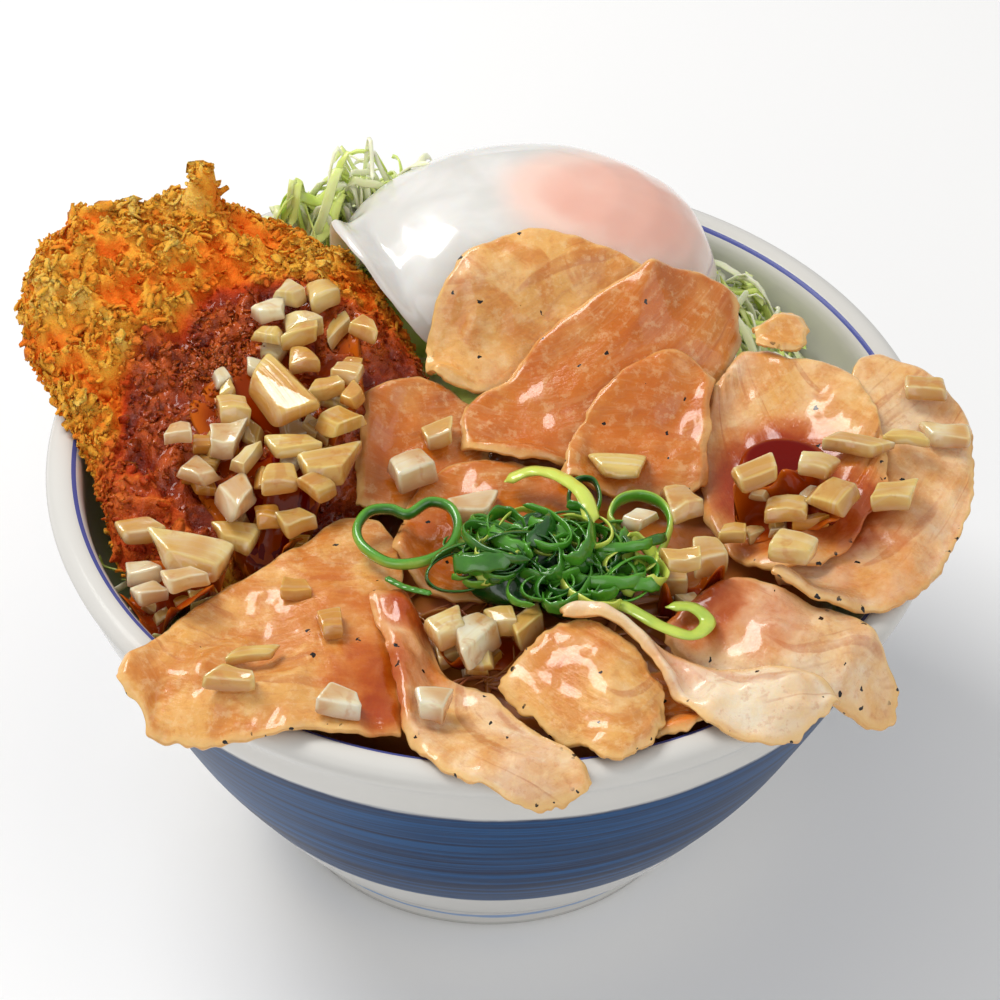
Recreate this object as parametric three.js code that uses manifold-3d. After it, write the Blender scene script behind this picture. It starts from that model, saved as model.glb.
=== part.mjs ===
// A filled rice bowl: a porcelain bowl with cabbage, a fried cutlet, a soft egg, roast pork slices,
// diced onion and cut green onion. Millimetres, +Z up, the origin under the middle of the whole.
import * as THREE from 'three';
import { mergeVertices } from 'three/addons/utils/BufferGeometryUtils.js';
import Module from 'manifold-3d';

const wasm = await Module();
wasm.setup();

// Driving sizes of the bowl
const RIM_RADIUS = 88;
const BOWL_HEIGHT = 90;
const FOOT_RADIUS = 43.4;
const FOOT_INNER_RADIUS = 38.5;
const FOOT_RECESS = 5.5;
const INNER_FLOOR = 11;
const BOWL_SIDES = 40;
// How near the middles of the bowl's flat faces come to its axis, as a share of the radius
const FLAT_SHARE = Math.cos(Math.PI / BOWL_SIDES);

// Clearances between pieces that touch
const GAP = 0.45;
const BED_GAP = 0.7;

// Driving sizes of the food
const BED_HEIGHT = 89;
const BED_FALL = 6;
const CUTLET_HEIGHT = 98.5;
const CUTLET_SLOPE = 0.32;
const CUTLET_THICKNESS = 15;
const EGG_TOP = 118;
const EGG_WAIST = 98;
const PORK_THICKNESS = 1.9;
const LEAF_THICKNESS = 0.9;
const CORE_THICKNESS = 2;
const SINK = 1.1;

// Half the width and the step of the grid of heights that pieces rest on
const REACH = 110;
const PITCH = 0.5;

// Where the middle of the box of the whole lies from the bowl's axis
const BOX_MIDDLE = { x: 0, y: -2.8 };

// Seeded random numbers from 0 to 1
function seededRandom(seed) {
  let state = seed;
  return () => {
    state = (state + 0x6d2b79f5) | 0;
    let t = Math.imul(state ^ (state >>> 15), 1 | state);
    t = (t + Math.imul(t ^ (t >>> 7), 61 | t)) ^ t;
    return ((t ^ (t >>> 14)) >>> 0) / 4294967296;
  };
}

// A value that rises smoothly from 0 at the edge a to 1 at the edge b
function smoothRise(a, b, value) {
  const t = Math.min(1, Math.max(0, (value - a) / (b - a)));
  return t * t * (3 - 2 * t);
}

// The highest surface laid so far, kept on a square grid that later pieces rest on; margin is how
// many grid steps around a place count as under it
class Support {
  constructor(margin) {
    this.reach = REACH;
    this.pitch = PITCH;
    this.margin = margin;
    this.count = Math.round((2 * REACH) / PITCH) + 1;
    this.heights = new Float32Array(this.count * this.count).fill(-1e6);
  }

  // Calls visit(cell, height, weights) for each grid node under the triangle a, b, c
  scan(a, b, c, visit) {
    const area = (b.x - a.x) * (c.y - a.y) - (c.x - a.x) * (b.y - a.y);
    if (Math.abs(area) < 1e-9) return;
    const low = (p, q, r) => Math.max(0, Math.floor((Math.min(p, q, r) + this.reach) / this.pitch));
    const high = (p, q, r) => Math.min(this.count - 1,
      Math.ceil((Math.max(p, q, r) + this.reach) / this.pitch));
    for (let i = low(a.x, b.x, c.x); i <= high(a.x, b.x, c.x); i += 1) {
      const x = i * this.pitch - this.reach;
      for (let j = low(a.y, b.y, c.y); j <= high(a.y, b.y, c.y); j += 1) {
        const y = j * this.pitch - this.reach;
        const wb = ((x - a.x) * (c.y - a.y) - (c.x - a.x) * (y - a.y)) / area;
        const wc = ((b.x - a.x) * (y - a.y) - (x - a.x) * (b.y - a.y)) / area;
        const wa = 1 - wb - wc;
        if (wa > -0.02 && wb > -0.02 && wc > -0.02) {
          visit(i * this.count + j, wa * a.z + wb * b.z + wc * c.z, [wa, wb, wc]);
        }
      }
    }
  }

  // Lays a finished piece, so that what comes next rests on it
  lay(geometry) {
    const position = geometry.attributes.position;
    const index = geometry.index;
    const corners = [new THREE.Vector3(), new THREE.Vector3(), new THREE.Vector3()];
    const count = index ? index.count : position.count;
    for (let k = 0; k < count; k += 3) {
      corners.forEach((corner, n) => {
        corner.fromBufferAttribute(position, index ? index.getX(k + n) : k + n);
      });
      this.scan(...corners, (cell, height) => {
        this.heights[cell] = Math.max(this.heights[cell], height);
      });
    }
    return geometry;
  }

  laySkin(skin) {
    skin.faces.forEach((face) => this.scan(...face.map((n) => skin.points[n]), (cell, height) => {
      this.heights[cell] = Math.max(this.heights[cell], height);
    }));
    return this;
  }

  // The highest point at a cell and within the margin round it
  top(cell) {
    let best = -1e6;
    for (let i = -this.margin; i <= this.margin; i += 1) {
      for (let j = -this.margin; j <= this.margin; j += 1) {
        best = Math.max(best, this.heights[cell + i * this.count + j] ?? -1e6);
      }
    }
    return best;
  }

  // The highest point near a place in plan
  topAt(x, y) {
    const i = Math.round((x + this.reach) / this.pitch);
    const j = Math.round((y + this.reach) / this.pitch);
    return this.top(i * this.count + j);
  }
}

const support = new Support(1);

// A skin is an open face of points, its triangles seen from above, and its outline in order
function gridSkin(lengthSteps, widthSteps, place) {
  const points = [];
  const faces = [];
  const at = (i, j) => i * (widthSteps + 1) + j;
  for (let i = 0; i <= lengthSteps; i += 1) {
    for (let j = 0; j <= widthSteps; j += 1) points.push(place(i / lengthSteps, j / widthSteps));
  }
  for (let i = 0; i < lengthSteps; i += 1) {
    for (let j = 0; j < widthSteps; j += 1) {
      faces.push([at(i, j), at(i + 1, j), at(i + 1, j + 1)], [at(i, j), at(i + 1, j + 1), at(i, j + 1)]);
    }
  }
  const outline = [];
  for (let i = 0; i < lengthSteps; i += 1) outline.push(at(i, 0));
  for (let j = 0; j < widthSteps; j += 1) outline.push(at(lengthSteps, j));
  for (let i = lengthSteps; i > 0; i -= 1) outline.push(at(i, widthSteps));
  for (let j = widthSteps; j > 0; j -= 1) outline.push(at(0, j));
  return { points, faces, outline };
}

// A round skin of rings about a middle point; place takes an angle and a share of the radius
function roundSkin(sides, shares, place) {
  const points = [place(0, 0)];
  const faces = [];
  shares.forEach((share) => {
    for (let i = 0; i < sides; i += 1) points.push(place((2 * Math.PI * i) / sides, share));
  });
  const at = (ring, i) => 1 + ring * sides + (i % sides);
  for (let i = 0; i < sides; i += 1) {
    faces.push([0, at(0, i), at(0, i + 1)]);
    for (let ring = 1; ring < shares.length; ring += 1) {
      faces.push([at(ring - 1, i), at(ring, i), at(ring, i + 1)],
        [at(ring - 1, i), at(ring, i + 1), at(ring - 1, i + 1)]);
    }
  }
  const outline = Array.from({ length: sides }, (_, i) => at(shares.length - 1, i));
  return { points, faces, outline };
}

// Raises a skin where it would sink into what lies below: first each point, then a little at each
// pass, and whole triangles in the last passes
function settle(skin, gap) {
  skin.points.forEach((point) => {
    point.z = Math.max(point.z, support.topAt(point.x, point.y) + gap);
  });
  const passes = 60;
  for (let pass = 0; pass < passes; pass += 1) {
    const last = pass > passes - 5;
    const raise = new Float32Array(skin.points.length);
    for (const face of skin.faces) {
      const corners = face.map((n) => skin.points[n]);
      support.scan(...corners, (cell, height, weights) => {
        const lack = support.top(cell) + gap - height;
        if (lack <= 0) return;
        const spread = weights.reduce((sum, w) => sum + w * w, 0);
        face.forEach((n, k) => {
          raise[n] = Math.max(raise[n], last ? lack : (lack * Math.max(0, weights[k])) / spread);
        });
      });
    }
    if (raise.every((r) => r < 0.01)) return skin;
    skin.points.forEach((point, n) => {
      point.z += raise[n];
    });
  }
  return skin;
}

// A copy of a skin, moved outwards along its own normals by a thickness
function offsetSkin(skin, thickness) {
  const normals = skin.points.map(() => new THREE.Vector3());
  for (const [a, b, c] of skin.faces) {
    const side = new THREE.Vector3().subVectors(skin.points[b], skin.points[a]);
    side.cross(new THREE.Vector3().subVectors(skin.points[c], skin.points[a]));
    [a, b, c].forEach((n) => normals[n].add(side));
  }
  const points = skin.points.map((p, n) => p.clone().addScaledVector(normals[n].normalize(), thickness));
  return { ...skin, points };
}

// Lifts a top skin wherever it would leave less than a least thickness over the bottom skin
function keepAbove(top, bottom, least) {
  const deck = new Support(2).laySkin(bottom);
  top.points.forEach((point) => {
    point.z = Math.max(point.z, deck.topAt(point.x, point.y) + least);
  });
  return top;
}

// A closed solid between a top skin and a bottom skin whose outlines run side by side
function closeSkins(top, bottom) {
  const positions = [...top.points, ...bottom.points].flatMap((p) => [p.x, p.y, p.z]);
  const shift = top.points.length;
  const index = [];
  top.faces.forEach(([a, b, c]) => index.push(a, b, c));
  bottom.faces.forEach(([a, b, c]) => index.push(shift + a, shift + c, shift + b));
  const count = top.outline.length;
  for (let i = 0; i < count; i += 1) {
    const [a, b] = [top.outline[i], top.outline[(i + 1) % count]];
    const [c, d] = [shift + bottom.outline[i], shift + bottom.outline[(i + 1) % count]];
    index.push(a, c, d, a, d, b);
  }
  const geometry = new THREE.BufferGeometry();
  geometry.setAttribute('position', new THREE.Float32BufferAttribute(positions, 3));
  geometry.setIndex(index);
  return geometry;
}

// A closed smooth outline through plan points, as a radius about a middle at any angle
function radiusAbout(middle, outline) {
  const curve = new THREE.CatmullRomCurve3(outline.map(([x, y]) => new THREE.Vector3(x, y, 0)), true);
  const ring = curve.getSpacedPoints(240).map((p) => ({
    angle: (Math.atan2(p.y - middle[1], p.x - middle[0]) + 2 * Math.PI) % (2 * Math.PI),
    radius: Math.hypot(p.x - middle[0], p.y - middle[1]),
  }));
  return (angle) => {
    const turn = (p) => Math.abs(((p.angle - angle + 3 * Math.PI) % (2 * Math.PI)) - Math.PI);
    return ring.reduce((best, p) => (turn(p) < turn(best) ? p : best)).radius;
  };
}

// Joins solids that cross each other into one
function asSolid(geometry) {
  const bare = geometry.clone();
  bare.deleteAttribute('normal');
  bare.deleteAttribute('uv');
  const merged = mergeVertices(bare, 1e-4);
  const vertProperties = new Float32Array(merged.attributes.position.array);
  const triVerts = new Uint32Array(merged.index.array);
  return new wasm.Manifold(new wasm.Mesh({ numProp: 3, vertProperties, triVerts }));
}

function fuse(geometries) {
  const mesh = geometries.map(asSolid).reduce((whole, piece) => whole.add(piece)).getMesh();
  const geometry = new THREE.BufferGeometry();
  geometry.setAttribute('position', new THREE.Float32BufferAttribute(mesh.vertProperties, 3));
  geometry.setIndex(Array.from(mesh.triVerts));
  return geometry;
}

// Lifts a rigid piece so that it just clears a surface, or sinks into it by a negative gap
function restOn(geometry, gap, surface = support) {
  const position = geometry.attributes.position;
  const index = geometry.index;
  const corners = [new THREE.Vector3(), new THREE.Vector3(), new THREE.Vector3()];
  let lift = -1e6;
  const count = index ? index.count : position.count;
  for (let k = 0; k < count; k += 3) {
    corners.forEach((corner, n) => corner.fromBufferAttribute(position, index ? index.getX(k + n) : k + n));
    surface.scan(...corners, (cell, height) => {
      lift = Math.max(lift, surface.top(cell) + gap - height);
    });
  }
  return geometry.translate(0, 0, lift);
}

// A flat strip of rectangular section swept through points
function strip(points, width, thickness, steps) {
  const section = new THREE.Shape([
    new THREE.Vector2(-thickness / 2, -width / 2),
    new THREE.Vector2(thickness / 2, -width / 2),
    new THREE.Vector2(thickness / 2, width / 2),
    new THREE.Vector2(-thickness / 2, width / 2),
  ]);
  const extrudePath = new THREE.CatmullRomCurve3(points.map((p) => new THREE.Vector3(...p)));
  return new THREE.ExtrudeGeometry(section, { steps, extrudePath, bevelEnabled: false });
}

// The outside of the bowl from the foot up to the edge of the rim, as radius and height
const OUTER_WALL = [
  [FOOT_RADIUS, 0], [46.4, 7.5], [58.2, 24], [66.1, 37], [72.3, 50], [78.5, 64], [83.6, 76], [85.6, 83],
  [RIM_RADIUS - 0.4, 85.5], [RIM_RADIUS, 87.8],
];
// The inside from the rim down to the middle of the floor
const INNER_WALL = [
  [86.2, 89.6], [84.3, BOWL_HEIGHT], [82.4, 89.5], [81.0, 86.5], [78.4, 74], [67.0, 49], [59.6, 35.5],
  [49.5, 22.5], [34.0, 13.2], [0, INNER_FLOOR],
];

function bowl() {
  const underside = [[0, FOOT_RECESS], [36, FOOT_RECESS - 0.6], [FOOT_INNER_RADIUS, 0]];
  const profile = [...underside, ...OUTER_WALL, ...INNER_WALL];
  const turned = new THREE.LatheGeometry(profile.map(([r, z]) => new THREE.Vector2(r, z)), BOWL_SIDES);
  return turned.rotateX(Math.PI / 2).applyMatrix4(new THREE.Matrix4().makeRotationZ(Math.PI / BOWL_SIDES));
}

// The height of the bowl's inside at a radius, and the radius at a height
function innerHeight(radius) {
  for (let k = 3; k < INNER_WALL.length - 1; k += 1) {
    const [[r0, z0], [r1, z1]] = [INNER_WALL[k], INNER_WALL[k + 1]];
    if (radius <= r0 && radius >= r1) return z1 + ((z0 - z1) * (radius - r1)) / (r0 - r1);
  }
  return INNER_WALL[2][1];
}

function innerRadius(height) {
  for (let k = 2; k < INNER_WALL.length - 1; k += 1) {
    const [[r0, z0], [r1, z1]] = [INNER_WALL[k], INNER_WALL[k + 1]];
    if (height <= z0 && height >= z1) return r1 + ((r0 - r1) * (height - z1)) / (z0 - z1);
  }
  return INNER_WALL[2][0];
}

// The cutlet leans up over the left of the rim: its upper face before crags
function cutletFace(x, y) {
  const lobe = 5 * Math.exp(-(((x + 82) / 13) ** 2 + ((y - 28) / 20) ** 2));
  const ripple = 1.3 * Math.sin(0.21 * x + 0.9) * Math.cos(0.17 * y);
  return CUTLET_HEIGHT + CUTLET_SLOPE * y + lobe + ripple;
}

// The top of the cabbage: a low dome with a bed for the cutlet and a dip at the back right
function bedFace(x, y) {
  const radius = Math.hypot(x, y);
  const dome = BED_HEIGHT - BED_FALL * (radius / 78) ** 2.5 + 0.7 * Math.sin(0.3 * x) * Math.cos(0.27 * y);
  const underCutlet = smoothRise(1.2, 0.85, Math.hypot((x + 54) / 42, (y - 10) / 45));
  const seat = Math.min(dome, cutletFace(x, y) - CUTLET_THICKNESS - 3);
  const dip = 15 * Math.exp(-(((x - 63) / 15) ** 2 + ((y - 40) / 18) ** 2));
  return dome + (seat - dome) * underCutlet - dip;
}

function bedCore() {
  const sides = 28;
  const edge = Array.from({ length: sides }, (_, i) => {
    const angle = (2 * Math.PI * i) / sides;
    let radius = 78;
    for (let pass = 0; pass < 12; pass += 1) {
      const height = bedFace(radius * Math.cos(angle), radius * Math.sin(angle)) - 1;
      radius = innerRadius(height) * FLAT_SHARE - BED_GAP;
    }
    return radius;
  });
  const place = (height) => (angle, share) => {
    const radius = share * edge[Math.round((angle * sides) / (2 * Math.PI)) % sides];
    const [x, y] = [radius * Math.cos(angle), radius * Math.sin(angle)];
    return new THREE.Vector3(x, y, height(x, y, radius));
  };
  const top = roundSkin(sides, [0.25, 0.5, 0.7, 0.86, 1], place(bedFace));
  const bottom = roundSkin(sides, [0.43, 0.63, 0.76, 0.87, 1],
    place((x, y, radius) => innerHeight(radius / FLAT_SHARE) + BED_GAP));
  return closeSkins(top, bottom);
}

// The radius that shreds keep within, clear of the bowl's wall
const SHRED_LIMIT = 73;

// Where cabbage shows, each with the number of shreds, their reach in plan and how far they stand up
const SHRED_PATCHES = [
  { middle: [-31, 61], reach: [14, 7], count: 5, rise: 16 },
  { middle: [47, 47], reach: [9, 8], count: 4, rise: 9 },
  { middle: [54, 31], reach: [5, 6], count: 3, rise: 7 },
  { middle: [-50, -46], reach: [8, 4], count: 2, rise: 2 },
];

function cabbageBed() {
  const random = seededRandom(11);
  const shreds = SHRED_PATCHES.flatMap(({ middle, reach, count, rise }) =>
    Array.from({ length: count }, () => {
      const x = middle[0] + reach[0] * (2 * random() - 1);
      const y = middle[1] + reach[1] * (2 * random() - 1);
      const heading = 2 * Math.PI * random();
      const half = 6 + 5 * random();
      const [dx, dy] = [half * Math.cos(heading), half * Math.sin(heading)];
      const lift = rise * (0.35 + 0.65 * random());
      const places = [[x - dx, y - dy, -1.5], [x + 3 * random(), y - 3 * random(), lift],
        [x + dx, y + dy, 0.3 * lift]];
      return strip(places.map(([px, py, above]) => {
        const inward = Math.min(1, SHRED_LIMIT / Math.hypot(px, py));
        return [px * inward, py * inward, bedFace(px * inward, py * inward) + above];
      }), 2.6, 1.2, 3);
    }));
  return fuse([bedCore(), ...shreds]);
}

// The fried cutlet: a thick craggy slab whose underside follows the rim and the cabbage
const CUTLET_MIDDLE = [-54, 11];
const CUTLET_OUTLINE = [
  [-13, 10], [-17, 22], [-28, 38], [-38, 45], [-50, 50], [-62, 54], [-74, 49], [-86, 47], [-93, 36],
  [-94, 22], [-87, 9], [-81, 0], [-76, -12], [-71, -27], [-59, -34], [-42, -26], [-25, -14],
];

function cutlet() {
  const random = seededRandom(5);
  const sides = 50;
  const reach = radiusAbout(CUTLET_MIDDLE, CUTLET_OUTLINE);
  const crag = (size) => size * (2 * random() - 1);
  const place = (height, jag) => (angle, share) => {
    const radius = share * reach(angle) + (share > 0.7 && share < 1 ? crag(jag) : 0);
    const x = CUTLET_MIDDLE[0] + radius * Math.cos(angle);
    const y = CUTLET_MIDDLE[1] + radius * Math.sin(angle);
    return new THREE.Vector3(x, y, height(x, y, share) + crag(jag));
  };
  const underside = (x, y, share) => cutletFace(x, y) - CUTLET_THICKNESS + 4 * share ** 4;
  const bottom = settle(roundSkin(sides, [0.35, 0.7, 1], place(underside, 0)), GAP);
  const roundedFace = (x, y, share) => cutletFace(x, y) - 5.5 * Math.max(0, share - 0.55) ** 2 / 0.2;
  const top = roundSkin(sides, [0.18, 0.34, 0.48, 0.6, 0.71, 0.81, 0.9, 1], place(roundedFace, 1));
  keepAbove(top, bottom, 2.5);
  const flake = strip([[-60, 45, 108], [-60.5, 47, 113], [-59, 49, 118.5]], 5, 4.5, 2);
  return fuse([closeSkins(top, bottom), flake]);
}

// The soft egg: a low drop with the yolk as a swelling right of its middle
const EGG_MIDDLE = [5, 49];
const EGG_OUTLINE = [
  [44, 47], [41, 59], [31, 69], [16, 75.5], [0, 76.5], [-14, 72.5], [-26, 64], [-33, 54], [-34.5, 43],
  [-30, 32], [-24, 25], [-14, 21.5], [0, 21], [20, 24], [36, 32],
];

function egg() {
  const sides = 32;
  const reach = radiusAbout(EGG_MIDDLE, EGG_OUTLINE);
  const place = (height) => (angle, share) => {
    const radius = share * reach(angle);
    const x = EGG_MIDDLE[0] + radius * Math.cos(angle);
    const y = EGG_MIDDLE[1] + radius * Math.sin(angle);
    return new THREE.Vector3(x, y, height(x, y, share));
  };
  const bottom = settle(roundSkin(sides, [0.4, 0.7, 1], place((x, y, share) => 91 + 4 * share ** 3)), GAP);
  const rise = (x, y, share) => {
    const yolk = 1.5 * Math.exp(-(((x - 20) / 14) ** 2 + ((y - 51) / 13) ** 2));
    return EGG_WAIST + (EGG_TOP - EGG_WAIST) * (1 - share ** 2.3) ** 0.5 + yolk;
  };
  const top = roundSkin(sides, [0.25, 0.48, 0.67, 0.81, 0.91, 0.97, 1], place(rise));
  return closeSkins(keepAbove(top, bottom, 2), bottom);
}

// A slice of pork between a front edge and a back edge, both from left to right, with the height of
// its face; crown arches its middle up, and it sinks no lower than what it lies on
function slice({ front, back, crown = 0, wave = 0.5, steps = [13, 4], thickness = PORK_THICKNESS }) {
  const [lengthSteps, widthSteps] = steps;
  const along = (points) => new THREE.CatmullRomCurve3(points.map((p) => new THREE.Vector3(...p)), false,
    'centripetal').getSpacedPoints(lengthSteps);
  const [near, far] = [along(front), along(back)];
  const skin = gridSkin(lengthSteps, widthSteps, (u, v) => {
    const i = Math.round(u * lengthSteps);
    const point = near[i].clone().lerp(far[i], v);
    const arch = crown * Math.sin(Math.PI * Math.min(1, Math.max(0, v))) * Math.sin(Math.PI * u);
    point.z += arch + wave * Math.sin(9 * u + 4 * v) - thickness;
    return point;
  });
  settle(skin, GAP);
  return closeSkins(offsetSkin(skin, thickness), skin);
}

const SLICES = {
  pork_sauced_low: {
    front: [[21, -70, 86], [29, -75, 88], [38, -73, 88], [46, -69, 88]],
    back: [[21, -59, 84], [29, -55, 87], [40, -53, 87], [46, -58, 87]],
    steps: [7, 3],
  },
  pork_front_left: {
    front: [[-69, -66, 95], [-64, -73, 90], [-62, -75.5, 86], [-52, -79, 85], [-41, -79.5, 88],
      [-33, -78, 91], [-23, -78, 92], [-15, -78, 91]],
    back: [[-68, -62, 96], [-62, -54, 94], [-55, -45, 93], [-44, -35, 92], [-35, -27, 93], [-27, -21, 94],
      [-19, -26, 94], [-17, -36, 93]],
    crown: 1.5,
    steps: [14, 5],
  },
  pork_clear_left: {
    front: [[-27, -17, 92], [-20, -18.5, 92], [-11, -15, 92], [-2, -8, 93]],
    back: [[-26, 5, 97], [-21, 8, 99], [-15, 11, 100], [-8, 10, 98], [1, 4, 96]],
    steps: [8, 4],
  },
  pork_middle: {
    front: [[-19, -33, 91], [-13, -39, 91], [-4, -41, 90], [6, -39, 91], [17, -34, 92]],
    back: [[-17, -18, 94], [-12, -11, 95], [-4, -7, 96], [6, -7, 96], [17, -12, 95]],
    steps: [9, 5],
  },
  pork_front_right: {
    front: [[33, -52, 92], [38, -58, 90], [47, -63, 90], [56, -68, 91], [65, -64, 87], [69, -62.5, 81],
      [73, -62, 78], [77, -59, 79]],
    back: [[33, -48, 93], [38, -44, 96], [45, -39, 98], [53, -40, 97], [60, -43, 94], [67, -43, 93],
      [73, -48, 90], [77.5, -54, 82]],
    crown: 2,
    steps: [14, 5],
  },
  pork_far_right: {
    front: [[53, -41, 93], [58, -44, 92.5], [66, -44.5, 92], [75, -42, 91.5], [83, -35, 90.5], [89, -23, 90],
      [93.5, -9, 92]],
    back: [[55, -32, 93], [60, -18, 93], [65, -4, 94], [68, 9, 99], [72, 20.5, 103], [80, 20, 102],
      [88.5, 15, 100], [94, 5, 97]],
    crown: -0.5,
    steps: [13, 5],
  },
  pork_front: {
    front: [[-23, -44, 92], [-22, -50, 92], [-19, -58, 91], [-17, -67, 91], [-15, -78, 91], [-8, -86, 92],
      [-1, -89.5, 90], [6, -91, 87], [10, -91.5, 82]],
    back: [[-16, -43.5, 92], [-11, -53, 91], [-8, -60, 90], [-3, -63, 90], [3, -68, 90], [10, -75, 90.5],
      [18, -83, 93], [20, -88, 90], [18, -90, 84]],
    steps: [16, 4],
  },
  pork_back_left: {
    front: [[-14, 13, 99], [-12, 9.5, 97], [-7, 9, 96], [0, 10, 97], [8, 13, 99], [17, 18, 104], [30, 25, 110]],
    back: [[-14.5, 17, 102], [-13, 22.5, 105], [-7.5, 31, 110.5], [-2, 33.5, 114], [3, 36, 117], [9, 36.5, 118],
      [21, 34.5, 117], [31, 30.5, 114.5]],
    crown: 1,
    steps: [13, 5],
  },
  pork_back_middle: {
    front: [[-7, -5, 93], [1, -8, 93], [13, -9, 93], [24, -6, 94], [36, 2, 95], [44, 12, 98], [48, 23, 101]],
    back: [[-7, 1, 96], [-5, 7, 98], [3, 12, 100], [8, 18, 104], [15, 22.5, 108.5], [29, 29.5, 114],
      [40, 33, 112], [47.5, 31, 107]],
    crown: 1.5,
    steps: [14, 5],
  },
  pork_cupped: {
    front: [[40, 3, 98], [40, -9, 94], [42, -21, 92.5], [48, -31, 92.5], [58, -35, 92.5], [69, -26, 92.5],
      [76, -13, 94]],
    back: [[42, 9, 101], [45, 15, 103.5], [50, 19, 104.5], [57, 17, 104], [64, 17, 104], [71, 13, 102.5],
      [76, -3, 97.5]],
    crown: -4,
    wave: 0.3,
    steps: [13, 5],
  },
  pork_middle_right: {
    front: [[12, -13, 94], [20, -14, 94], [30, -13.5, 94], [37, -14.5, 94], [41, -12, 95]],
    back: [[14, -7, 96], [18, 3, 99], [23, 9, 101], [31, 14, 102.5], [38, 14.5, 101.5], [42.5, 10, 100]],
    crown: 0.8,
    steps: [9, 5],
  },
  pork_fold: {
    front: [[2, -64, 90], [8, -71, 89], [15, -77, 89], [23, -83, 92], [29, -80.5, 92], [33, -73, 92]],
    back: [[4, -61, 93], [9, -56.5, 97], [14, -53, 98.5], [20, -53, 98.5], [26, -57, 97], [33, -65, 94]],
    crown: 2.5,
    steps: [11, 5],
  },
  pork_fat_strip: {
    front: [[13, -54.5, 97], [20, -55, 97], [26, -57, 96], [31, -62, 94], [35, -68, 92.5], [40, -73, 92],
      [47, -76, 91], [56, -74, 87], [63.5, -69, 82]],
    back: [[13, -51, 98], [19, -50.5, 98.5], [27, -53, 98], [35, -57, 95], [43, -60, 93.5], [52, -60.5, 93.5],
      [60, -62, 93], [64.5, -64, 89], [66, -66, 84]],
    wave: 0.3,
    steps: [16, 4],
  },
  pork_curled_tip: {
    front: [[51, 18, 104], [54, 16, 103], [58, 16, 103], [60.5, 18, 104]],
    back: [[50, 21.5, 108], [54, 24, 110], [59, 24, 110], [61.5, 21, 108]],
    crown: -1.5,
    steps: [6, 3],
  },
};

// The dark sauce that stands in the cupped slice
const POOL_MIDDLE = [56, -9];
const POOL_REACH = [9, 7.5];

function saucePool() {
  const place = (angle, share) => new THREE.Vector3(
    POOL_MIDDLE[0] + POOL_REACH[0] * share * Math.cos(angle),
    POOL_MIDDLE[1] + POOL_REACH[1] * share * Math.sin(angle),
    BED_HEIGHT + 1,
  );
  const bottom = settle(roundSkin(16, [0.4, 0.75, 1], place), GAP);
  const level = 1.2 + Math.max(...bottom.outline.map((n) => bottom.points[n].z));
  const top = roundSkin(16, [0.5, 1], (angle, share) => place(angle, share).setZ(level));
  return closeSkins(top, bottom);
}

// One piece of diced onion: a bent tapering block, turned and tilted
function onionPiece([x, y, length, width, turn], random, height = 3) {
  const block = new THREE.BoxGeometry(length, width, height, 2, 1, 1);
  const position = block.attributes.position;
  const taper = 0.75 + 0.2 * random();
  for (let n = 0; n < position.count; n += 1) {
    const bend = -0.16 * height * (2 * position.getX(n) / length) ** 2;
    const scale = position.getZ(n) > 0 ? taper : 1;
    position.setXYZ(n, position.getX(n) * scale, position.getY(n) * scale, position.getZ(n) + bend);
  }
  block.rotateX(0.25 * (random() - 0.5)).rotateY(0.25 * (random() - 0.5));
  return block.rotateZ(THREE.MathUtils.degToRad(turn)).translate(x, y, 0);
}

// The core of a heap: an ellipse in plan that follows what lies below, its top at least a thickness
// above that and mounded up to a level
function heapCore({ middle, reach, turn, level }) {
  const [c, s] = [Math.cos(THREE.MathUtils.degToRad(turn)), Math.sin(THREE.MathUtils.degToRad(turn))];
  const skinAt = (height) => roundSkin(14, [0.5, 1], (angle, share) => {
    const [p, q] = [reach[0] * share * Math.cos(angle), reach[1] * share * Math.sin(angle)];
    return new THREE.Vector3(middle[0] + p * c - q * s, middle[1] + p * s + q * c, height - 4 * share ** 2);
  });
  const bottom = settle(skinAt(0), GAP);
  return closeSkins(keepAbove(skinAt(level), bottom, CORE_THICKNESS), bottom);
}

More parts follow.
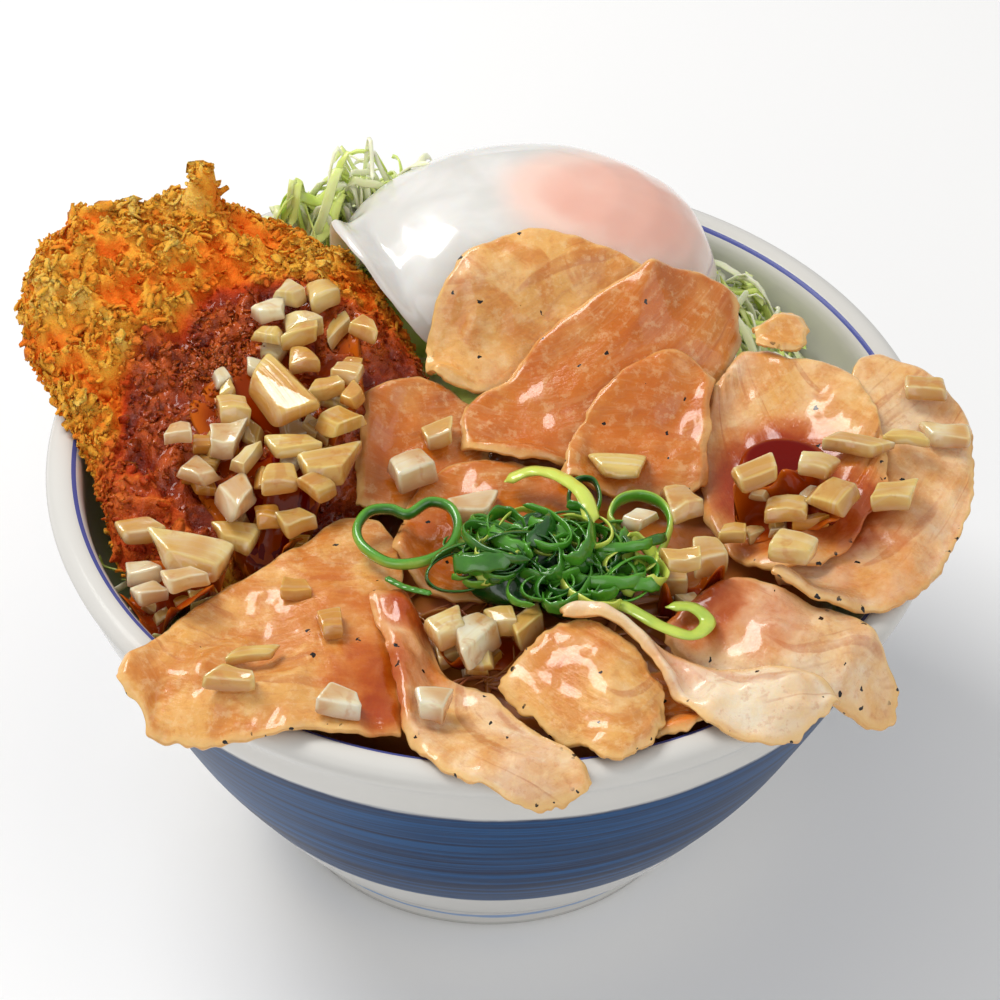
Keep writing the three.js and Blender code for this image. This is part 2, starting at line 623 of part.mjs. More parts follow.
// Onion heaps: a core and the pieces on it, each as x, y, length, width and turn in degrees
const ONION_HEAPS = {
  onion_heap_cutlet: {
    core: { middle: [-43, -3], reach: [30, 16], turn: 74, level: 90 },
    pieces: [
      [-35, 24, 6, 6, 30], [-41, 22, 5, 5, 60], [-45, 18, 6, 4, 20], [-39, 16, 6, 5, 15], [-45, 13, 4, 5, 80],
      [-37, 9, 5, 5, 0], [-29, 5, 6, 4, -20], [-33, 2, 6, 4, 10], [-28, -1, 5, 4, 60], [-42, -1, 15, 9, -55],
      [-51, -3, 6, 6, 0], [-52, -9, 6, 6, 5], [-48, -15, 6, 4, 40], [-39, -12, 9, 5, 10], [-30, -7, 7, 7, -50],
      [-32, -16, 10, 7, 15], [-41, -20, 7, 6, 20], [-57, -16, 6, 7, 60], [-49, -22, 8, 7, -65],
      [-49, -28, 8, 5, -10], [-39, -25, 6, 6, 30],
    ],
  },
  onion_heap_left: {
    core: { middle: [-61, -39], reach: [12, 8], turn: -35, level: 90 },
    pieces: [[-67, -35, 6, 5, 0], [-57, -36, 13, 8, -10], [-65, -41, 6, 4, 20], [-58, -46, 7, 4, 20]],
  },
  onion_heap_front: {
    core: { middle: [-1, -51.5], reach: [11, 5.5], turn: 12, level: 95 },
    pieces: [
      [-8, -53, 7, 7, 30], [-3, -54, 9, 8, 50], [2, -50, 5, 5, 0], [7, -50, 8, 5, 50],
    ],
  },
  onion_heap_right: {
    core: { middle: [38, -37], reach: [7, 6], turn: 0, level: 93 },
    pieces: [[35, -36, 5, 5, 0], [41, -35, 6, 7, 20], [36, -41, 7, 4, 0]],
  },
  onion_heap_pool: {
    core: { middle: [58, -20], reach: [12, 6.5], turn: 15, level: 90 },
    pieces: [[50, -19, 9, 5, 30], [56, -23, 8, 6, 0], [65, -21, 8, 7, 60], [62, -15, 7, 4, 0]],
  },
};

function onionHeap({ core, pieces }, seed) {
  const random = seededRandom(seed);
  const deck = new Support(0);
  const base = deck.lay(heapCore(core));
  return fuse([base, ...pieces.map((piece) => restOn(onionPiece(piece, random), -SINK, deck))]);
}

// Onion pieces that lie alone, as x, y, length, width, turn and height
const LOOSE_ONIONS = [
  [-16, -13, 8, 7, 30, 5], [-11, -3, 6, 5, 20, 3], [-4, -22, 9, 7, 10, 4], [28, -26.5, 4.5, 4.5, -30, 3],
  [24, -10, 10, 6, 0, 2], [36, -20, 6, 9, 20, 3], [-27, -73, 7, 5, -10, 4], [-10, -73, 6, 6, 0, 4],
  [-30, -53, 4, 6, 10, 3], [-44, -61, 9, 3, 10, 2], [-47, -70, 8, 4, -8, 3], [-37, -43, 5, 4, 0, 2],
  [70, -6, 11, 4, -10, 3], [77, -16, 8, 6, 10, 3], [84, 11, 8, 5, 0, 3], [88, 1, 9, 5, -5, 3],
  [80, -3, 8, 3, -5, 2], [57, -38, 8, 6, -10, 4], [-26, 16, 5, 4, -30, 3], [-61, -9, 5, 4, 0, 3],
  [-68, -25, 8, 5, 10, 3], [46, -27, 5, 4, 0, 3],
];

// A closed ring of green onion: a rectangular section carried round a plan outline
// that runs anticlockwise
function ring(outline, wall, height, middle, tilt) {
  const sides = 18;
  const curve = new THREE.CatmullRomCurve3(outline.map(([x, y]) => new THREE.Vector3(x, y, 0)), true);
  const positions = [];
  const index = [];
  for (let i = 0; i < sides; i += 1) {
    const outer = curve.getPointAt(i / sides);
    const inner = outer.clone().multiplyScalar(1 - wall / outer.length());
    for (const [point, z] of [[outer, 0], [outer, height], [inner, height], [inner, 0]]) {
      positions.push(point.x, point.y, z);
    }
    for (let k = 0; k < 4; k += 1) {
      const [a, b] = [4 * i + k, 4 * i + ((k + 1) % 4)];
      const [c, d] = [4 * ((i + 1) % sides) + k, 4 * ((i + 1) % sides) + ((k + 1) % 4)];
      index.push(a, d, b, a, c, d);
    }
  }
  const band = new THREE.BufferGeometry();
  band.setAttribute('position', new THREE.Float32BufferAttribute(positions, 3));
  band.setIndex(index);
  return restOn(band.rotateX(tilt).translate(middle[0], middle[1], 0), GAP);
}

const HEART = [[0, 5], [-3.5, 6.2], [-7.5, 5.4], [-9.6, 1], [-8, -3.5], [-3, -7], [3, -6.5], [8, -3],
  [9.6, 2.5], [8, 7], [4, 8.2]];
const OVAL = [[3, 0], [2, 3.6], [0, 4.4], [-2, 3.4], [-3, 0], [-2, -3.4], [0, -4.2], [2, -3.6]];
const HOOK_RING = [[6, 1], [4.5, 6], [0, 8], [-4, 6.5], [-5.5, 2.5], [-3, -1], [-1, -5.5], [3, -6.5]];

// The tangle of thin green onion: a core with loops of leaf that stand out of it
const TANGLE = { core: { middle: [11, -37], reach: [18, 8], turn: 0, level: 99 }, loops: 8 };

function greenTangle() {
  const random = seededRandom(23);
  const deck = new Support(0);
  const base = deck.lay(heapCore(TANGLE.core));
  const loops = Array.from({ length: TANGLE.loops }, (_, n) => {
    const x = TANGLE.core.middle[0] + 22 * ((n + 0.5) / TANGLE.loops - 0.5);
    const y = TANGLE.core.middle[1] + 2 * (random() - 0.5);
    const heading = (n % 2 ? 0.35 : 1.1) + 0.5 * random();
    const half = 3.6 + 1.2 * random();
    const [dx, dy] = [half * Math.cos(heading), half * Math.sin(heading)];
    const lift = 3 + 3 * random();
    return strip([
      [x - dx, y - dy, deck.topAt(x - dx, y - dy) - 1.5],
      [x - 0.8 * dx, y - 0.8 * dy, deck.topAt(x, y) + 0.8 * lift],
      [x + 0.6 * dx, y + 0.6 * dy, deck.topAt(x, y) + lift],
      [x + dx, y + dy, deck.topAt(x + dx, y + dy) - 1.5],
    ], 2.8, LEAF_THICKNESS, 4);
  });
  return fuse([base, ...loops]);
}

// Single strips of green onion leaf, laid over what is below, as points, width and thickness
const GREEN_STRIPS = {
  green_onion_yellow_strip: { path: [[2, -16, -4], [7, -15, -2], [12, -18, 0], [17, -25, 2], [19, -33, 2]],
    width: 3.4, thickness: 1.6 },
  green_onion_hook: { path: [[18, -46.5, 0], [25, -48, 0.6], [32, -53, 0.6], [38, -55, 0.3], [41, -51, 0],
    [38, -47.5, 0.3], [33, -48, 0.6]], width: 3.2, thickness: 1.3 },
  green_onion_thread: { path: [[-20, -42.5, 0], [-16, -45, 0], [-11, -46.5, 0]], width: 1.6, thickness: 0.9 },
};

function greenStrip({ path, width, thickness }) {
  return restOn(strip(path, width, thickness, 2 * path.length), GAP);
}

const LOOKS = {
  porcelain: { color: 0xf2f1ec, roughness: 0.15 },
  cabbage: { color: 0xdde3b0, roughness: 0.5 },
  crust: { color: 0xd27a22, roughness: 0.7 },
  egg: { color: 0xf3efe9, roughness: 0.2 },
  pork: { color: 0xd3a077, roughness: 0.4 },
  sauce: { color: 0x6b1a08, roughness: 0.1 },
  onion: { color: 0xe8d8a8, roughness: 0.35 },
  green: { color: 0x4f8f2c, roughness: 0.35 },
};

const model = new THREE.Group();
model.position.set(-BOX_MIDDLE.x, -BOX_MIDDLE.y, 0);

// Adds a named piece and lays it, so that the next pieces rest on it
function lay(name, look, geometry) {
  const mesh = new THREE.Mesh(geometry, new THREE.MeshStandardMaterial({ ...LOOKS[look], metalness: 0 }));
  mesh.name = name;
  support.lay(geometry);
  model.add(mesh);
}

lay('bowl', 'porcelain', bowl());
lay('cabbage_bed', 'cabbage', cabbageBed());
lay('cutlet', 'crust', cutlet());
lay('egg', 'egg', egg());
Object.entries(SLICES).forEach(([name, shape]) => lay(name, 'pork', slice(shape)));
lay('sauce_pool', 'sauce', saucePool());
Object.entries(ONION_HEAPS).forEach(([name, heap], n) => lay(name, 'onion', onionHeap(heap, 31 + n)));
lay('green_onion_tangle', 'green', greenTangle());
lay('green_onion_light_ring', 'green', ring(HOOK_RING, 1.2, 3, [28, -27], 0.25));
LOOSE_ONIONS.forEach(([x, y, length, width, turn, height], n) => {
  const piece = restOn(onionPiece([x, y, length, width, turn], seededRandom(61 + n), height), GAP);
  lay(`onion_${String(n + 1).padStart(2, '0')}`, 'onion', piece);
});
lay('green_onion_heart', 'green', ring(HEART, 1.4, 2.2, [-16.2, -31.8], 0.12));
lay('green_onion_small_ring', 'green', ring(OVAL, 0.9, 1.6, [17.5, -18.5], 0.3));
Object.entries(GREEN_STRIPS).forEach(([name, shape]) => lay(name, 'green', greenStrip(shape)));

export default model;
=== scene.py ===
"""A filled rice bowl: porcelain, cabbage, a fried cutlet, a soft egg, roast pork, onion and green onion.

The shapes are worked out in millimetres about the bowl's axis, and put into the meshes in metres in the
frame's own place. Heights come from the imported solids, rastered on a grid, so each piece keeps its form.
"""
import itertools
import math

import bmesh
import bpy
import numpy as np
from mathutils import Matrix, Vector


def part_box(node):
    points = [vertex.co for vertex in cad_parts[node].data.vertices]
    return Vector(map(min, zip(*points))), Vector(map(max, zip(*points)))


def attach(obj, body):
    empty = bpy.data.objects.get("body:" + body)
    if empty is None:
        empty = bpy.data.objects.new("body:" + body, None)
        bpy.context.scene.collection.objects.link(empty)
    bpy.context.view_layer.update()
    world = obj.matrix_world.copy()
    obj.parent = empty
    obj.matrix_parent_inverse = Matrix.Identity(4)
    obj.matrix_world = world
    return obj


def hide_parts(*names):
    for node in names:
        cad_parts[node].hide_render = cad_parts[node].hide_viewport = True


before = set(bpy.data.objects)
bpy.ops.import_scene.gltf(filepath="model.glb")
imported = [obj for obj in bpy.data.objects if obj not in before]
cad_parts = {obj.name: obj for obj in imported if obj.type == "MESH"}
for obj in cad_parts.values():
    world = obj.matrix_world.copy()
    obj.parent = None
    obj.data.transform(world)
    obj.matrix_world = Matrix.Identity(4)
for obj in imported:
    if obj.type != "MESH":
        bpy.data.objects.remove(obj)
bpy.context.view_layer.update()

MM = 0.001
BOWL_LOW, BOWL_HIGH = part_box("bowl")
AXIS = np.array([(BOWL_LOW.x + BOWL_HIGH.x) / 2, (BOWL_LOW.y + BOWL_HIGH.y) / 2, 0.0])

# The photograph's view: millimetres about the bowl's axis, and radians
CAMERA_PLACE = (1.3, -715.8, 760.6)
CAMERA_DIP = 0.7617
CAMERA_ROLL = 0.0289
CAMERA_LENS = 180.0

# The grid on which the solids' heights are kept
GRID_REACH = 104.0
GRID_STEP = 0.5
GRID_COUNT = int(2 * GRID_REACH / GRID_STEP) + 1

# A triangle too thin to count, and how far past its edges a triangle still covers a cell
SLIVER = 1e-6
EDGE_SLACK = 0.02

# Pieces of onion as x, y, length, width, turn, height and tone: 0 white, 0.5 yellow, 1 stained
HEAPS = {
    "onion_heap_cutlet": [
        (-35, 24, 6, 6, 30, 4, 0.4), (-41, 22, 5, 5, 60, 4, 0.3), (-45, 18, 6, 4, 20, 3, 0.1),
        (-39, 16, 6, 5, 15, 4, 0.3), (-45, 13, 4, 5, 80, 3, 0.5), (-38, 13, 6, 4, 10, 4, 0.5),
        (-38, 8, 5, 5, 0, 3, 0.5), (-29, 5, 6, 4, -20, 3, 0.3), (-33, 2, 6, 4, 10, 3, 0.6),
        (-28, -1, 5, 4, 60, 3, 0.7), (-42, -1, 15, 8, -55, 4, 0.45), (-51, -3, 6, 6, 0, 4, 0.4),
        (-52, -9, 6, 6, 5, 4, 0.1), (-48, -15, 6, 3, 60, 4, 0.3), (-39, -12, 9, 5, 10, 3, 0.4),
        (-30, -7, 7, 7, -50, 4, 0.5), (-32, -16, 10, 7, 15, 4, 0.5), (-34, -21, 5, 6, 40, 3, 0.6),
        (-41, -20, 7, 6, 20, 3, 0.6), (-57, -16, 6, 7, 60, 3, 0.1), (-49, -22, 8, 7, -65, 5, 0.0),
        (-49, -28, 8, 5, -10, 3, 0.5), (-43, -25, 5, 5, 0, 3, 0.8), (-38, -26, 6, 4, 30, 3, 0.5),
    ],
    "onion_heap_left": [
        (-67, -35, 6, 5, 0, 4, 0.05), (-57, -36, 14, 8, -10, 4, 0.3), (-65, -41, 6, 4, 20, 3, 0.1),
        (-58, -46, 7, 4, 20, 3, 0.2),
    ],
    "onion_heap_front": [
        (-8, -53, 7, 7, 30, 4, 0.3), (-3, -54, 9, 8, 50, 6, 0.05), (2, -50, 5, 5, 0, 4, 0.4),
        (7, -50, 8, 5, 50, 5, 0.4),
    ],
    "onion_heap_right": [
        (35, -36, 5, 5, 0, 4, 0.3), (41, -35, 6, 7, 20, 4, 0.3), (36, -41, 7, 4, 0, 3, 0.4),
    ],
    "onion_heap_pool": [
        (50, -19, 9, 5, 30, 3, 0.4), (56, -23, 8, 6, 0, 3, 0.4), (65, -21, 8, 7, 60, 3, 0.6),
        (62, -15, 7, 4, 0, 3, 0.3),
    ],
}
LOOSE_ONIONS = [
    (-16, -13, 8, 7, 30, 5, 0.05), (-11, -3, 6, 5, 20, 3, 0.3), (-4, -22, 9, 7, 10, 4, 0.0),
    (28, -26.5, 4.5, 4.5, -30, 3, 0.0), (24, -10, 10, 6, 0, 2, 0.5), (36, -20, 6, 9, 20, 3, 0.3),
    (-27, -73, 7, 5, -10, 4, 0.05), (-10, -73, 6, 6, 0, 4, 0.0), (-30, -53, 4, 6, 10, 3, 0.8),
    (-44, -61, 9, 3, 10, 2, 0.5), (-47, -70, 8, 4, -8, 3, 0.35), (-37, -43, 5, 4, 0, 2, 0.8),
    (70, -6, 11, 4, -10, 3, 0.3), (77, -16, 8, 6, 10, 3, 0.4), (84, 11, 8, 5, 0, 3, 0.3),
    (88, 1, 9, 5, -5, 3, 0.2), (80, -3, 8, 3, -5, 2, 0.4), (57, -38, 8, 6, -10, 4, 0.35),
    (-26, 16, 5, 4, -30, 3, 0.5), (-61, -9, 5, 4, 0, 3, 0.1), (-68, -25, 8, 5, 10, 3, 0.3),
    (46, -27, 5, 4, 0, 3, 0.6),
]

# Slices of pork: the near and the far edge in plan, from left to right, and tone from 0 pale to 1 tan (above
# 1: brighter, partly painted light)
SLICES = {
    "pork_sauced_low": (
        [(21, -70), (29, -75), (38, -73), (46, -69)],
        [(21, -59), (29, -55), (40, -53), (46, -58)], 1.35,
    ),
    "pork_front_left": (
        [(-69, -66), (-64, -73), (-62, -75.5), (-52, -79), (-41, -79.5), (-33, -78), (-23, -78),
         (-15, -78)],
        [(-68, -62), (-62, -54), (-55, -45), (-44, -35), (-35, -27), (-27, -21), (-19, -26),
         (-17, -36)], 0.62,
    ),
    "pork_clear_left": (
        [(-27, -17), (-20, -18.5), (-11, -15), (-2, -8)],
        [(-26, 5), (-21, 8), (-15, 11), (-8, 10), (1, 4)], 0.9,
    ),
    "pork_middle": (
        [(-19, -33), (-13, -39), (-4, -41), (6, -39), (17, -34)],
        [(-17, -18), (-12, -11), (-4, -7), (6, -7), (17, -12)], 0.9,
    ),
    "pork_front_right": (
        [(33, -52), (38, -58), (47, -63), (56, -68), (65, -64), (69, -62.5), (73, -62), (77, -59)],
        [(33, -48), (38, -44), (45, -39), (53, -40), (60, -43), (67, -43), (73, -48), (77.5, -54)], 0.25,
    ),
    "pork_far_right": (
        [(53, -41), (58, -44), (66, -44.5), (75, -42), (83, -35), (89, -23), (93.5, -9)],
        [(55, -32), (60, -18), (65, -4), (68, 9), (72, 20.5), (80, 20), (88.5, 15), (94, 5)], 0.3,
    ),
    "pork_front": (
        [(-23, -44), (-22, -50), (-19, -58), (-17, -67), (-15, -78), (-8, -86), (-1, -89.5), (6, -91),
         (10, -91.5)],
        [(-16, -43.5), (-11, -53), (-8, -60), (-3, -63), (3, -68), (10, -75), (18, -83), (20, -88),
         (18, -90)], 0.3,
    ),
    "pork_back_left": (
        [(-14, 13), (-12, 9.5), (-7, 9), (0, 10), (8, 13), (17, 18), (30, 25)],
        [(-14.5, 17), (-13, 22.5), (-7.5, 31), (-2, 33.5), (3, 36), (9, 36.5), (21, 34.5),
         (31, 30.5)], 0.5,
    ),
    "pork_back_middle": (
        [(-7, -5), (1, -8), (13, -9), (24, -6), (36, 2), (44, 12), (48, 23)],
        [(-7, 1), (-5, 7), (3, 12), (8, 18), (15, 22.5), (29, 29.5), (40, 33), (47.5, 31)], 0.95,
    ),
    "pork_cupped": (
        [(40, 3), (40, -9), (42, -21), (48, -31), (58, -35), (69, -26), (76, -13)],
        [(42, 9), (45, 15), (50, 19), (57, 17), (64, 17), (71, 13), (76, -3)], 0.4,
    ),
    "pork_middle_right": (
        [(12, -13), (20, -14), (30, -13.5), (37, -14.5), (41, -12)],
        [(14, -7), (18, 3), (23, 9), (31, 14), (38, 14.5), (42.5, 10)], 0.85,
    ),
    "pork_fold": (
        [(2, -64), (8, -71), (15, -77), (23, -83), (29, -80.5), (33, -73)],
        [(4, -61), (9, -56.5), (14, -53), (20, -53), (26, -57), (33, -65)], 0.52,
    ),
    "pork_fat_strip": (
        [(13, -54.5), (20, -55), (26, -57), (31, -62), (35, -68), (40, -73), (47, -76), (56, -74),
         (63.5, -69)],
        [(13, -51), (19, -50.5), (27, -53), (35, -57), (43, -60), (52, -60.5), (60, -62), (64.5, -64),
         (66, -66)], 0.05,
    ),
    "pork_curled_tip": (
        [(51, 18), (54, 16), (58, 16), (60.5, 18)],
        [(50, 21.5), (54, 24), (59, 24), (61.5, 21)], 0.4,
    ),
}
SLICE_THICKNESS = 1.2

# Where brown sauce lies on the pork: x, y, reach and strength
SAUCE_SPOTS = [
    (55, -10, 15, 1.2), (66, -18, 13, 0.85), (52, -24, 10, 0.7), (74, -22, 10, 0.5), (-22, -62, 12, 0.75),
    (-20, -72, 7, 0.85), (-30, -46, 12, 0.55), (-14, -48, 9, 0.8), (-12, -62, 7, 0.55), (0, -25, 12, 0.6),
    (14, -18, 10, 0.5), (26, -12, 8, 0.5), (8, -4, 9, 0.45), (36, -60, 9, 0.45), (40, -45, 12, 0.8),
    (52, -50, 10, 0.5), (18, -60, 8, 0.45), (-18, -8, 9, 0.4), (40, 5, 6, 0.5), (82, -20, 10, 0.4),
    (30, 20, 9, 0.35), (-40, -58, 9, 0.3), (13, -62, 9, 0.55),
    (-18, -5, 12, 0.5), (-8, -28, 14, 0.65), (28, -5, 14, 0.5), (10, 8, 16, 0.4), (30, 12, 14, 0.4),
    (72, -32, 14, 0.45), (45, -62, 8, 0.3), (-50, -45, 12, 0.3),
]


def smooth_rise(low, high, value):
    """0 below low, 1 above high, and an S-shaped rise between them."""
    t = np.clip((value - low) / (high - low), 0, 1)
    return t * t * (3 - 2 * t)


NOISE_CELLS = 24


def value_noise(points, size, seed):
    """Smooth noise from -1 to 1: random values on a lattice of cells of that size, blended by an S-curve."""
    table = np.random.default_rng(seed).uniform(-1, 1, (NOISE_CELLS,) * 3)
    place = np.asarray(points, float) / size
    cell = np.floor(place).astype(int)
    share = smooth_rise(0, 1, place - cell)
    total = np.zeros(place.shape[:-1])
    for corner in itertools.product((0, 1), repeat=3):
        i, j, k = np.moveaxis((cell + corner) % NOISE_CELLS, -1, 0)
        total += table[i, j, k] * np.abs(1 - np.array(corner) - share).prod(axis=-1)
    return total


def ripples(*waves):
    """A function of points: a sum of smooth noises, each given as its height, its cell size and its seed."""
    return lambda points: sum(height * value_noise(points, size, seed) for height, size, seed in waves)


def oval(x, y, middle, reach):
    """How far places are from an oval's middle, 1 on its outline."""
    return np.hypot((x - middle[0]) / reach[0], (y - middle[1]) / reach[1])


def around(count):
    """Angles evenly spaced round a circle."""
    return np.linspace(0, 2 * np.pi, count, endpoint=False)


def unit(vectors):
    """Vectors brought to a length of 1."""
    return vectors / (np.linalg.norm(vectors, axis=-1, keepdims=True) + 1e-9)


def stacked(*columns):
    """One array of points from arrays or numbers for x, y and z."""
    return np.stack(np.broadcast_arrays(*columns), axis=-1).astype(float)


CURVE_STEPS = 24


def spaced_curve(knots, count, closed=False):
    """A Catmull-Rom curve through knots, as count points equally far apart along it."""
    knots = np.asarray(knots, float)
    if closed:
        ends = np.vstack([knots[-1], knots, knots[0], knots[1]])
    else:
        ends = np.vstack([2 * knots[0] - knots[1], knots, 2 * knots[-1] - knots[-2]])
    t = np.linspace(0, 1, CURVE_STEPS, endpoint=False)[:, None, None]
    p0, p1, p2, p3 = (ends[k:len(ends) - 3 + k] for k in range(4))
    spans = 0.5 * (2 * p1 + (p2 - p0) * t + (2 * p0 - 5 * p1 + 4 * p2 - p3) * t ** 2
                   + (3 * p1 - p0 - 3 * p2 + p3) * t ** 3)
    last = knots[0] if closed else knots[-1]
    dense = np.vstack([spans.transpose(1, 0, 2).reshape(-1, knots.shape[1]), last])
    run = np.concatenate([[0], np.cumsum(np.linalg.norm(np.diff(dense, axis=0), axis=1))])
    at = np.linspace(0, run[-1], count, endpoint=not closed)
    return np.stack([np.interp(at, run, column) for column in dense.T], axis=-1)


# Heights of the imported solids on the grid

def raster(node):
    """The highest and the lowest height of a solid over each grid cell, from its triangles' planes."""
    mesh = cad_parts[node].data
    mesh.calc_loop_triangles()
    corners = np.zeros(len(mesh.vertices) * 3, np.float32)
    mesh.vertices.foreach_get("co", corners)
    corners = (corners.reshape(-1, 3) - AXIS) / MM
    index = np.zeros(len(mesh.loop_triangles) * 3, np.int32)
    mesh.loop_triangles.foreach_get("vertices", index)
    top = np.full((GRID_COUNT, GRID_COUNT), -np.inf)
    bottom = np.full((GRID_COUNT, GRID_COUNT), np.inf)
    for a, b, c in corners[index.reshape(-1, 3)]:
        area = (b[0] - a[0]) * (c[1] - a[1]) - (c[0] - a[0]) * (b[1] - a[1])
        if abs(area) < SLIVER:
            continue
        low = np.floor((np.min([a, b, c], axis=0)[:2] + GRID_REACH) / GRID_STEP).astype(int)
        high = np.ceil((np.max([a, b, c], axis=0)[:2] + GRID_REACH) / GRID_STEP).astype(int) + 1
        x = (np.arange(low[0], high[0]) * GRID_STEP - GRID_REACH)[:, None]
        y = (np.arange(low[1], high[1]) * GRID_STEP - GRID_REACH)[None, :]
        wb = ((x - a[0]) * (c[1] - a[1]) - (c[0] - a[0]) * (y - a[1])) / area
        wc = ((b[0] - a[0]) * (y - a[1]) - (x - a[0]) * (b[1] - a[1])) / area
        inside = (wb > -EDGE_SLACK) & (wc > -EDGE_SLACK) & (wb + wc < 1 + EDGE_SLACK)
        height = a[2] + wb * (b[2] - a[2]) + wc * (c[2] - a[2])
        part = (slice(low[0], high[0]), slice(low[1], high[1]))
        top[part] = np.where(inside, np.maximum(top[part], height), top[part])
        bottom[part] = np.where(inside, np.minimum(bottom[part], height), bottom[part])
    return top, bottom


def neighbours(grid):
    """The four side neighbours of each cell, as four shifted grids."""
    return [np.roll(grid, 1, 0), np.roll(grid, -1, 0), np.roll(grid, 1, 1), np.roll(grid, -1, 1)]


def spread(grid, known, reach):
    """Empty cells near known ones take the mean of their known neighbours, reach millimetres outwards."""
    grid = np.where(known, grid, 0.0)
    for _ in range(int(reach / GRID_STEP)):
        counts = sum(n.astype(float) for n in neighbours(known))
        sums = sum(neighbours(grid * known))
        fresh = ~known & (counts > 0)
        grid = np.where(fresh, sums / np.maximum(counts, 1), grid)
        known = known | fresh
    return grid, known


def blurred(grid, known, passes):
    """Known cells averaged with their known neighbours, once for each pass."""
    for _ in range(passes):
        weights = known + sum(neighbours(known.astype(float)))
        grid = np.where(known, (grid * known + sum(neighbours(grid * known))) / np.maximum(weights, 1), grid)
    return grid


def surface(grid, passes=4, reach=4.0):
    """A smooth height grid from a raster: spread past its outline and blurred."""
    known = np.isfinite(grid)
    filled, wide = spread(np.where(known, grid, 0.0), known, reach)
    return blurred(filled, wide, passes)


def height_at(grid, x, y):
    """Heights between the grid's cells, blended from the four cells round each place."""
    u = np.clip((np.asarray(x, float) + GRID_REACH) / GRID_STEP, 0, GRID_COUNT - 1.001)
    v = np.clip((np.asarray(y, float) + GRID_REACH) / GRID_STEP, 0, GRID_COUNT - 1.001)
    i, j = u.astype(int), v.astype(int)
    s, t = u - i, v - j
    return ((1 - s) * (1 - t) * grid[i, j] + s * (1 - t) * grid[i + 1, j] + (1 - s) * t * grid[i, j + 1]
            + s * t * grid[i + 1, j + 1])


OUTLINE_REACH = 70
OUTLINE_STEP = 0.25
OUTLINE_PASSES = 6


def outline_radius(top, middle, angles):
    """How far a solid reaches from a middle in plan at each angle, smoothed round the outline."""
    covered = np.isfinite(top).astype(float)
    steps = np.arange(0, OUTLINE_REACH, OUTLINE_STEP)[:, None]
    hit = height_at(covered, middle[0] + steps * np.cos(angles), middle[1] + steps * np.sin(angles)) > 0.5
    radius = (hit * steps).max(axis=0)
    for _ in range(OUTLINE_PASSES):
        radius = (radius + np.roll(radius, 1) + np.roll(radius, -1)) / 3
    return radius


def middle_height(name):
    """The height of the middle of a solid's box."""
    low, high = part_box(name)
    return (low.z + high.z) / 2 / MM


RASTERS = {name: raster(name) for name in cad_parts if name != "bowl"}


# Mesh making

def grid_faces(rows, columns, round_columns=False):
    """Four-sided faces between the points of a grid kept row by row, closed round its columns if asked."""
    i = np.arange(rows - 1)[:, None]
    j = np.arange(columns if round_columns else columns - 1)[None, :]
    k = (j + 1) % columns
    corners = (i * columns + j, (i + 1) * columns + j, (i + 1) * columns + k, i * columns + k)
    return np.stack(np.broadcast_arrays(*corners), axis=-1).reshape(-1, 4)


SAME_PLACE = 1e-7


def close_poles(mesh):
    """Points that lie on one another, as round a pole, become one point."""
    shape = bmesh.new()
    shape.from_mesh(mesh)
    bmesh.ops.remove_doubles(shape, verts=shape.verts, dist=SAME_PLACE)
    shape.to_mesh(mesh)
    shape.free()
    mesh.update()


def new_mesh(name, points, faces, fields, uv=None):
    """A smooth-shaded mesh from points in millimetres, its faces turned outwards or upwards."""
    points = np.asarray(points, float).reshape(-1, 3)
    a, b, c = (points[faces[:, k]] for k in range(3))
    volume = np.einsum("ij,ij->", np.cross(b - a, c - a), (a + b + c) / 3 - points.mean(axis=0))
    if volume < 0:
        faces = faces[:, ::-1]
    mesh = bpy.data.meshes.new(name)
    mesh.from_pydata((points * MM + AXIS).tolist(), [], faces.tolist())
    mesh.polygons.foreach_set("use_smooth", np.ones(len(mesh.polygons), bool))
    for field, values in fields.items():
        attribute = mesh.attributes.new(field, "FLOAT", "POINT")
        attribute.data.foreach_set("value", np.asarray(values, np.float32).ravel())
    if uv is not None:
        corner = np.zeros(len(mesh.loops), np.int32)
        mesh.loops.foreach_get("vertex_index", corner)
        mesh.uv_layers.new(name="across").data.foreach_set("uv", uv.reshape(-1, 2)[corner].ravel())
    close_poles(mesh)
    return mesh


def new_piece(name, slot, shape, replaced=(), uv=None):
    """A shown piece from points, faces and fields: it rides on the one body, with its slot's finish."""
    mesh = new_mesh(name, *shape, uv)
    piece = bpy.data.objects.new(name, mesh)
    bpy.context.scene.collection.objects.link(piece)
    mesh.materials.append(FINISHES[slot])
    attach(piece, "root")
    if replaced:
        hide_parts(*replaced)
    return piece


def joined(parts):
    """Points, faces and fields of many small shapes, put one after another."""
    points = np.concatenate([p for p, _, _ in parts])
    starts = np.cumsum([0] + [len(p) for p, _, _ in parts[:-1]])
    faces = np.concatenate([f + start for (_, f, _), start in zip(parts, starts)])
    fields = {key: np.concatenate([fields[key] for _, _, fields in parts]) for key in parts[0][2]}
    return points, faces, fields


def surface_normals(grid):
    """Upward normals of a grid of points, from the differences along its rows and columns."""
    normal = unit(np.cross(np.gradient(grid, axis=0), np.gradient(grid, axis=1)))
    return normal * np.where(normal[..., 2:].mean() < 0, -1, 1)


# Material making

SCREEN_GAMMA = 2.2


